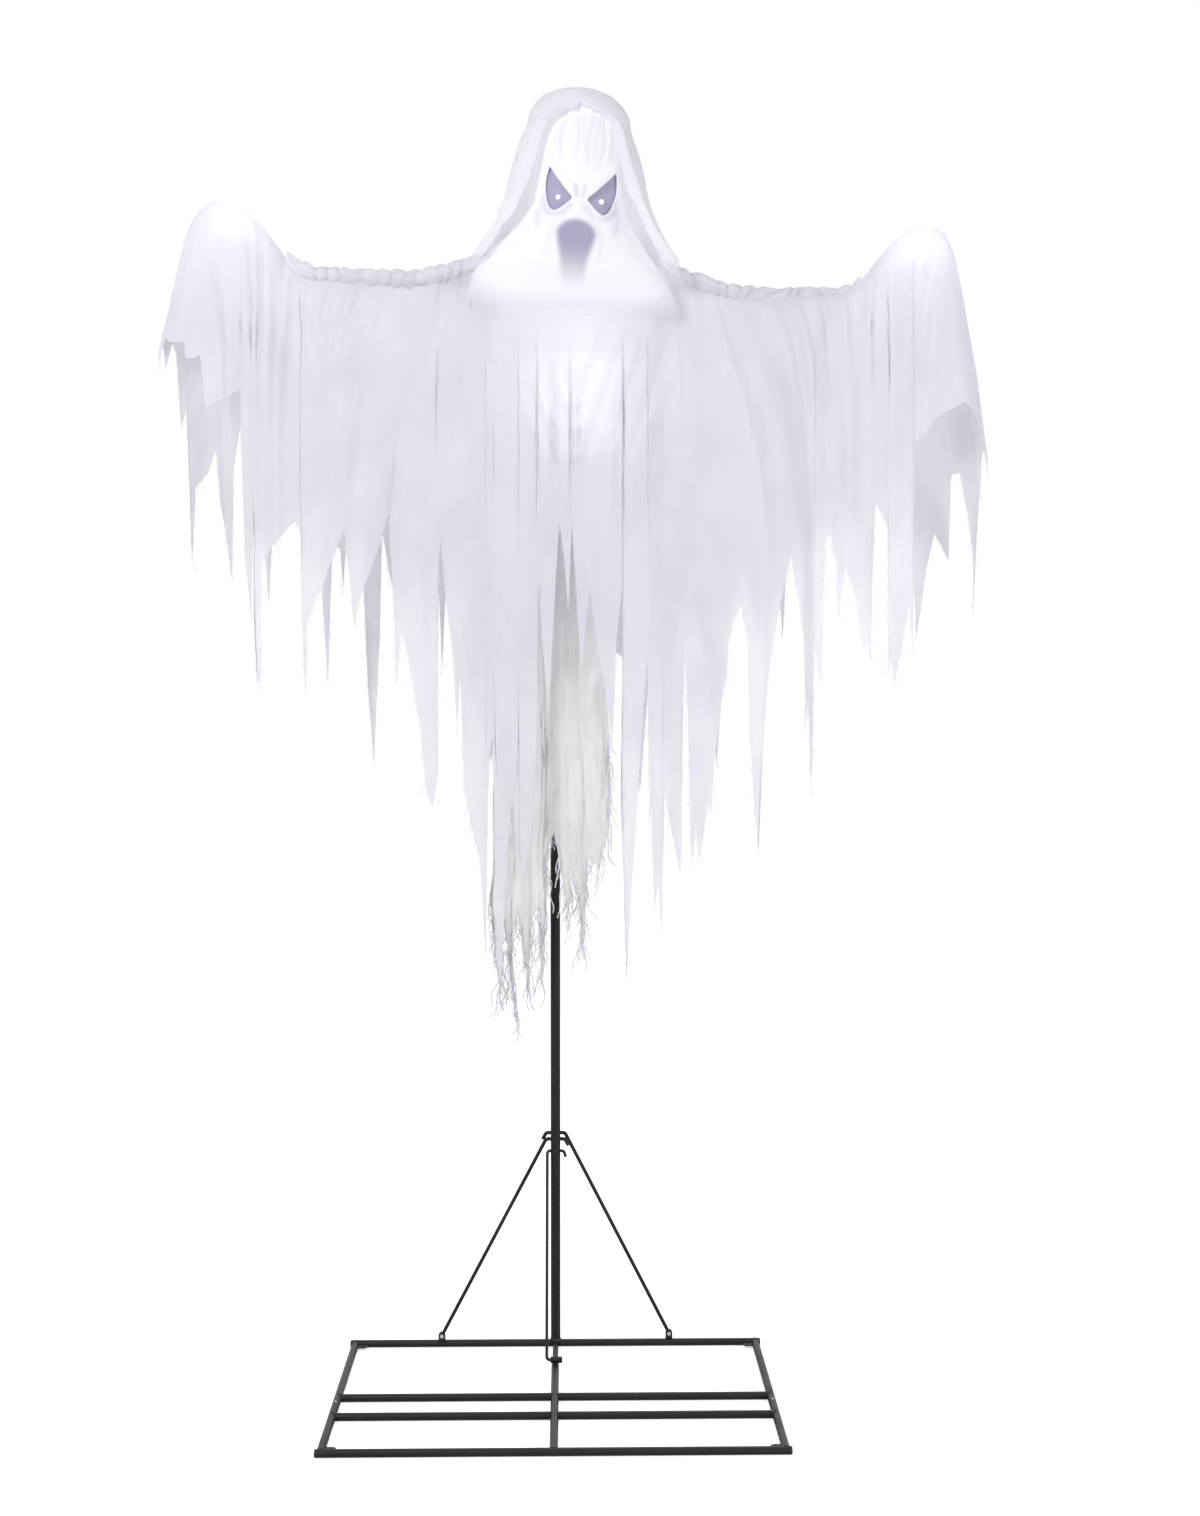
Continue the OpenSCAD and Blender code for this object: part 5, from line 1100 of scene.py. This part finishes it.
def mask_piece():
    flat, tri = flat_face()
    a, h = flat[:, 0] / roll_radius, flat[:, 1]
    rx = half_width(h)
    ry = np.interp(h, head_profile[:, 0], head_profile[:, 2])
    up, line, mouth_dip_and_shade = face_relief(rx * np.sin(a), h)
    up = up * ease(np.cos(a), 0.05, 0.35) + 0.0008
    local = np.stack([(rx + up) * np.sin(a), -(ry + up) * np.cos(a), h], -1)
    turn = np.array(head_lean.to_3x3())
    leaned, straight = local @ turn.T + np.array(head_base), local + np.array(head_base)
    stay = ease(h, -0.20, -0.03)[:, None]
    placed = leaned * stay + straight * (1 - stay)
    on_robe = robe_face(placed[:, 0], placed[:, 2]) - 0.004
    lies = (1 - ease(h, -0.25, -0.07)) * ease(np.cos(a), -0.06, 0.02)
    placed[:, 1] = np.where(on_robe < no_robe / 2, placed[:, 1] * (1 - lies) + on_robe * lies, placed[:, 1])
    # the neck cloth is slit at each side, with room for the arm and its ruffle to lift
    x, y, z = placed[tri].mean(1).T
    slit = (np.abs(y - arm_y) < arm_slit) & (np.abs(x) > slit_inner) & (z < slit_top)
    used, tri = np.unique(tri[~slit], return_inverse=True)
    tri = tri.reshape(-1, 3)
    placed, flat, a, h, line, mouth_dip_and_shade = (rows[used] for rows in (placed, flat, a, h, line, mouth_dip_and_shade))
    mesh = bpy.data.meshes.new("ghost_mask")
    mesh.from_pydata(placed.tolist(), [], tri.tolist())
    aside = np.minimum(np.abs(flat[:, 0] / face_wide), 1) ** 2
    # below the chin the cloth thins out over the robe, so that no edge shows; like the mask it glows, which here is
    # painted light from the head lamp
    veil = (1 - ease(h - 0.07 * aside, -0.225, -0.085)) * ease(np.cos(a), -0.12, 0.0)
    neck = 1 - ease(h - 0.05 * aside, -0.125, 0.000)
    # crease holds the painted shade of the creases, mouth the mouth's painted grey, and neck the neck cloth, which
    # glows with painted light
    return finished("ghost_mask", mesh, finishes["mask"], crease=line, mouth=mouth_dip_and_shade, veil=veil, neck=neck)


mask = mask_piece()
wall = mask.modifiers.new("wall", "SOLIDIFY")
wall.thickness = 0.0024
wall.offset = -1
print("mask faces:", len(mask.data.polygons))

# %% [markdown]
# ## Small things that repeat: weld beads, stitches and frayed threads
# The stand's tubes are welded where they meet, the casing on each arm is held by a running stitch, and every torn
# edge sheds threads. Each of these is one small shape repeated along a path, so Geometry Nodes make them: a tree
# takes a path, spreads points on it and puts a shape on each. The result is turned into a plain mesh at the end.

# %% A helper to build a tree, and one to freeze its result
class Steps:
    """A Geometry Nodes tree with named inputs; every step links to the one before."""

    def __init__(self, name, **inputs):
        self.tree = bpy.data.node_groups.new(name, "GeometryNodeTree")
        self.tree.interface.new_socket("Geometry", in_out="INPUT", socket_type="NodeSocketGeometry")
        self.sockets = {}
        for label, value in inputs.items():
            kind = "NodeSocketInt" if isinstance(value, int) else "NodeSocketFloat"
            self.sockets[label] = self.tree.interface.new_socket(label, in_out="INPUT", socket_type=kind)
        self.tree.interface.new_socket("Geometry", in_out="OUTPUT", socket_type="NodeSocketGeometry")
        self.start = self.tree.nodes.new("NodeGroupInput")
        self.end = self.tree.nodes.new("NodeGroupOutput")
        self.values = inputs

    def node(self, kind, settings=None, **links):
        made = self.tree.nodes.new(kind)
        for key, value in (settings or {}).items():
            setattr(made, key, value)
        for key, value in links.items():
            socket = made.inputs[int(key[1:]) if key[0] == "_" else key.replace("_", " ")]
            if isinstance(value, bpy.types.NodeSocket):
                self.tree.links.new(value, socket)
            else:
                socket.default_value = value
        return made

    def given(self, label):
        return self.start.outputs[label]

    def curve(self):
        return self.node("GeometryNodeMeshToCurve", Mesh=self.given("Geometry")).outputs[0]

    def spread(self):
        """Points along the path, one at each pitch."""
        return self.node("GeometryNodeCurveToPoints", {"mode": "LENGTH"}, Curve=self.curve(),
                         Length=self.given("pitch"))

    def close(self, geometry, finish):
        """Ends the tree with real geometry in its finish."""
        real = self.node("GeometryNodeRealizeInstances", Geometry=geometry)
        done = self.node("GeometryNodeSetMaterial", Geometry=real.outputs[0], Material=finish)
        self.tree.links.new(done.outputs[0], self.end.inputs[0])
        return self

    def freeze(self, name, lines, closed=False):
        """Runs the tree on lines, and returns a plain mesh object."""
        path = path_object("path", lines, closed)
        step = path.modifiers.new("steps", "NODES")
        step.node_group = self.tree
        for label, value in self.values.items():
            step[self.sockets[label].identifier] = value
        bpy.context.view_layer.update()
        mesh = bpy.data.meshes.new_from_object(path.evaluated_get(bpy.context.evaluated_depsgraph_get()))
        mesh.name = name
        path.modifiers.remove(step)
        bpy.data.objects.remove(path)
        mesh.polygons.foreach_set("use_smooth", [True] * len(mesh.polygons))
        return add(name, mesh)


def path_object(name, lines, closed):
    """An object whose mesh is only edges along the lines."""
    points, edges = [], []
    for line in lines:
        n = len(points)
        points += [tuple(p) for p in line]
        edges += [(n + i, n + i + 1) for i in range(len(line) - 1)]
        if closed:
            edges.append((n + len(line) - 1, n))
    mesh = bpy.data.meshes.new(name)
    mesh.from_pydata(points, edges, [])
    return add(name, mesh)


print("tree helper ready")


# %% Weld beads where the tubes of the base meet
base_y = -0.04  # welds of tubes along y face this middle


def saddle(x, y, tube_r, along_y):
    """The line where a tube that runs along y (or x) meets a tube across it."""
    ring = []
    for k in range(40):
        a = 2 * math.pi * k / 40
        reach = math.sqrt(max(tube_r ** 2 - (tube_r * math.sin(a)) ** 2, 0))
        side, height = tube_r * math.cos(a), tube_r + tube_r * math.sin(a)
        if along_y:
            ring.append((x + side, y + math.copysign(reach, base_y - y), height))
        else:
            ring.append((x + math.copysign(reach, pole.x - x), y + side, height))
    return ring


def middle_y(node):
    low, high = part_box(node)
    return (low[1] + high[1]) / 2


rear_low, rear_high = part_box("rear_tube")
tube_r = (rear_high[2] - rear_low[2]) / 2
tube_ys = (middle_y("rear_tube"), middle_y("front_tube"))
rails_low, rails_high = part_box("rear_side_rails")
rails = (rails_low[0] + tube_r, rails_high[0] - tube_r)
welds = [saddle(x, y, tube_r, True) for x in (*rails, pole.x) for y in tube_ys]
for bars in ("rear_cross_bars", "front_cross_bars"):
    welds += [saddle(x, middle_y(bars), tube_r, False) for x in rails]

bead = Steps("weld_bead", bead_radius=0.0017, seed=3)
fine = bead.node("GeometryNodeResampleCurve", Curve=bead.curve(), Count=56)
noise = bead.node("FunctionNodeRandomValue", _2=0.75, _3=1.25, Seed=bead.given("seed"))
sized = bead.node("GeometryNodeSetCurveRadius", Curve=fine.outputs[0], Radius=noise.outputs[1])
section = bead.node("GeometryNodeCurvePrimitiveCircle", Resolution=8, Radius=bead.given("bead_radius"))
radius = bead.node("GeometryNodeInputRadius")
tube = bead.node("GeometryNodeCurveToMesh", Curve=sized.outputs[0], Profile_Curve=section.outputs[0],
                 Scale=radius.outputs[0])
weld_beads = bead.close(tube.outputs[0], finishes["black_steel"]).freeze("weld_beads", welds, closed=True)
print("welds:", len(welds), "faces", len(weld_beads.data.polygons))

# %% Running stitch on the casings
stitch = Steps("running_stitch", pitch=0.011, thread_radius=0.0007, stitch_length=0.0065)
spots = stitch.spread()
pin = stitch.node("GeometryNodeMeshCylinder", Vertices=6, Radius=stitch.given("thread_radius"),
                  Depth=stitch.given("stitch_length"))
turn = stitch.node("FunctionNodeAlignRotationToVector", {"axis": "Z"}, Vector=spots.outputs["Tangent"])
sewn = stitch.node("GeometryNodeInstanceOnPoints", Points=spots.outputs[0], Instance=pin.outputs[0],
                   Rotation=turn.outputs[0])
stitch.close(sewn.outputs[0], hood_voile)


def stitch_line(side):
    line, a = arm_line(side, 160)
    return [(p[0], p[1] - 0.0232, p[2] - 0.010 + 0.002 * math.sin(900 * q)) for p, q in zip(line, a) if q < 0.72]


left_stitches = stitch.freeze("casing_stitches_left", [stitch_line(-1)])
right_stitches = stitch.freeze("casing_stitches_right", [stitch_line(1)])
print("stitches:", len(left_stitches.data.polygons) // 8, len(right_stitches.data.polygons) // 8)

# %% [markdown]
# ### Frayed threads on the torn edges
# Torn voile drops fine threads. Points are spread along each hem, and a thin bent thread hangs from each, of a random
# length and turn with a fixed seed. The gauze sheds more and longer ones.

# %% Threads on the hems
def spun_thread(name):
    spun = Finish(name, Roughness=0.8, Sheen_Weight=0.2)
    fibre = spun.grain(2600, 2)
    spun.set(Base_Color=spun.between(fibre, (0.80, 0.79, 0.85), (0.92, 0.91, 0.95)),
             Roughness=spun.span(fibre, 0.3, 0.7, 0.7, 0.9))
    return spun.material


thread_finish = spun_thread("spun_thread")


def fray_steps(name, pitch, longest, seed):
    fray = Steps(name, pitch=pitch, longest=longest, seed=seed)
    bent = fray.node("GeometryNodeCurvePrimitiveBezierSegment", Resolution=5, Start=(0, 0, 0.1),
                     Start_Handle=(0.25, 0.1, -0.3), End_Handle=(-0.28, 0.05, -0.55), End=(0.12, 0, -1.0))
    ring = fray.node("GeometryNodeCurvePrimitiveCircle", Resolution=3, Radius=0.02)
    thread = fray.node("GeometryNodeCurveToMesh", Curve=bent.outputs[0], Profile_Curve=ring.outputs[0])
    size = fray.node("FunctionNodeRandomValue", _2=0.004, _3=fray.given("longest"), Seed=fray.given("seed"))
    spin = fray.node("FunctionNodeRandomValue", {"data_type": "FLOAT_VECTOR"}, _0=(-0.35, -0.35, 0.0),
                     _1=(0.35, 0.35, full_turn), Seed=fray.given("seed"))
    placed = fray.node("GeometryNodeInstanceOnPoints", Points=fray.spread().outputs[0], Instance=thread.outputs[0],
                       Rotation=spin.outputs[0], Scale=size.outputs[1])
    return fray.close(placed.outputs[0], thread_finish)


def hem_line(sheet, rows):
    """The last row of points of a sheet."""
    spots = np.empty(len(sheet.data.vertices) * 3, np.float32)
    sheet.data.vertices.foreach_get("co", spots)
    return spots.reshape(rows, -1, 3)[-1]


frays = {}
for seed, sheet in enumerate(robe, 21):
    steps = fray_steps("frays_" + sheet.name, 0.017, 0.030, seed)
    frays[sheet.name] = steps.freeze("threads_" + sheet.name, [hem_line(sheet, robe_rows)])
steps = fray_steps("frays_lining", 0.006, 0.085, 25)
frays["gauze_lining"] = steps.freeze("threads_gauze", [hem_line(lining, lining_rows)])
print("threads, faces:", {k: len(v.data.polygons) for k, v in frays.items()})

# %% [markdown]
# ## Tie pieces to what moves them
# The head turns and the arms lift. The casings and their stitches follow the arms, and the lining, its threads and
# the weld beads follow the stand. The robe crosses the shoulder and the hood sits on the head, but the robe sheets
# with their threads, the hood and the mask stay in the object's frame. The solids they replace are hidden.

# %% Ride and replace
for sheets, arm, sign in (((front_left, back_left), "left_arm", -1), ((front_right, back_right), "right_arm", 1)):
    for sheet in sheets:
        for piece in (sheet, frays[sheet.name]):
            sign * 0.06
            sign * 0.50
            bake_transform(piece)
for piece in (left_casing, left_stitches):
    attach(piece, "left_arm")
for piece in (right_casing, right_stitches):
    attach(piece, "right_arm")
for piece in (lining, frays["gauze_lining"], weld_beads):
    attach(piece, "stand")
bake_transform(hood)
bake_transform(mask)

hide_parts("robe_front", "left_sleeve")
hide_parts("right_sleeve")
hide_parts("robe_back")
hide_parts("robe_lining")
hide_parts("hood")
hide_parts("mask")
for piece in (*robe, left_casing, right_casing, hood, left_stitches, right_stitches, *frays.values()):
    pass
print("pieces tied to their bodies")

# %% [markdown]
# ## The area of each sheet
# Torn gaps make a sheet smaller than its rectangle, so its area is measured on the mesh drawn above.

print("cloth sheets drawn")
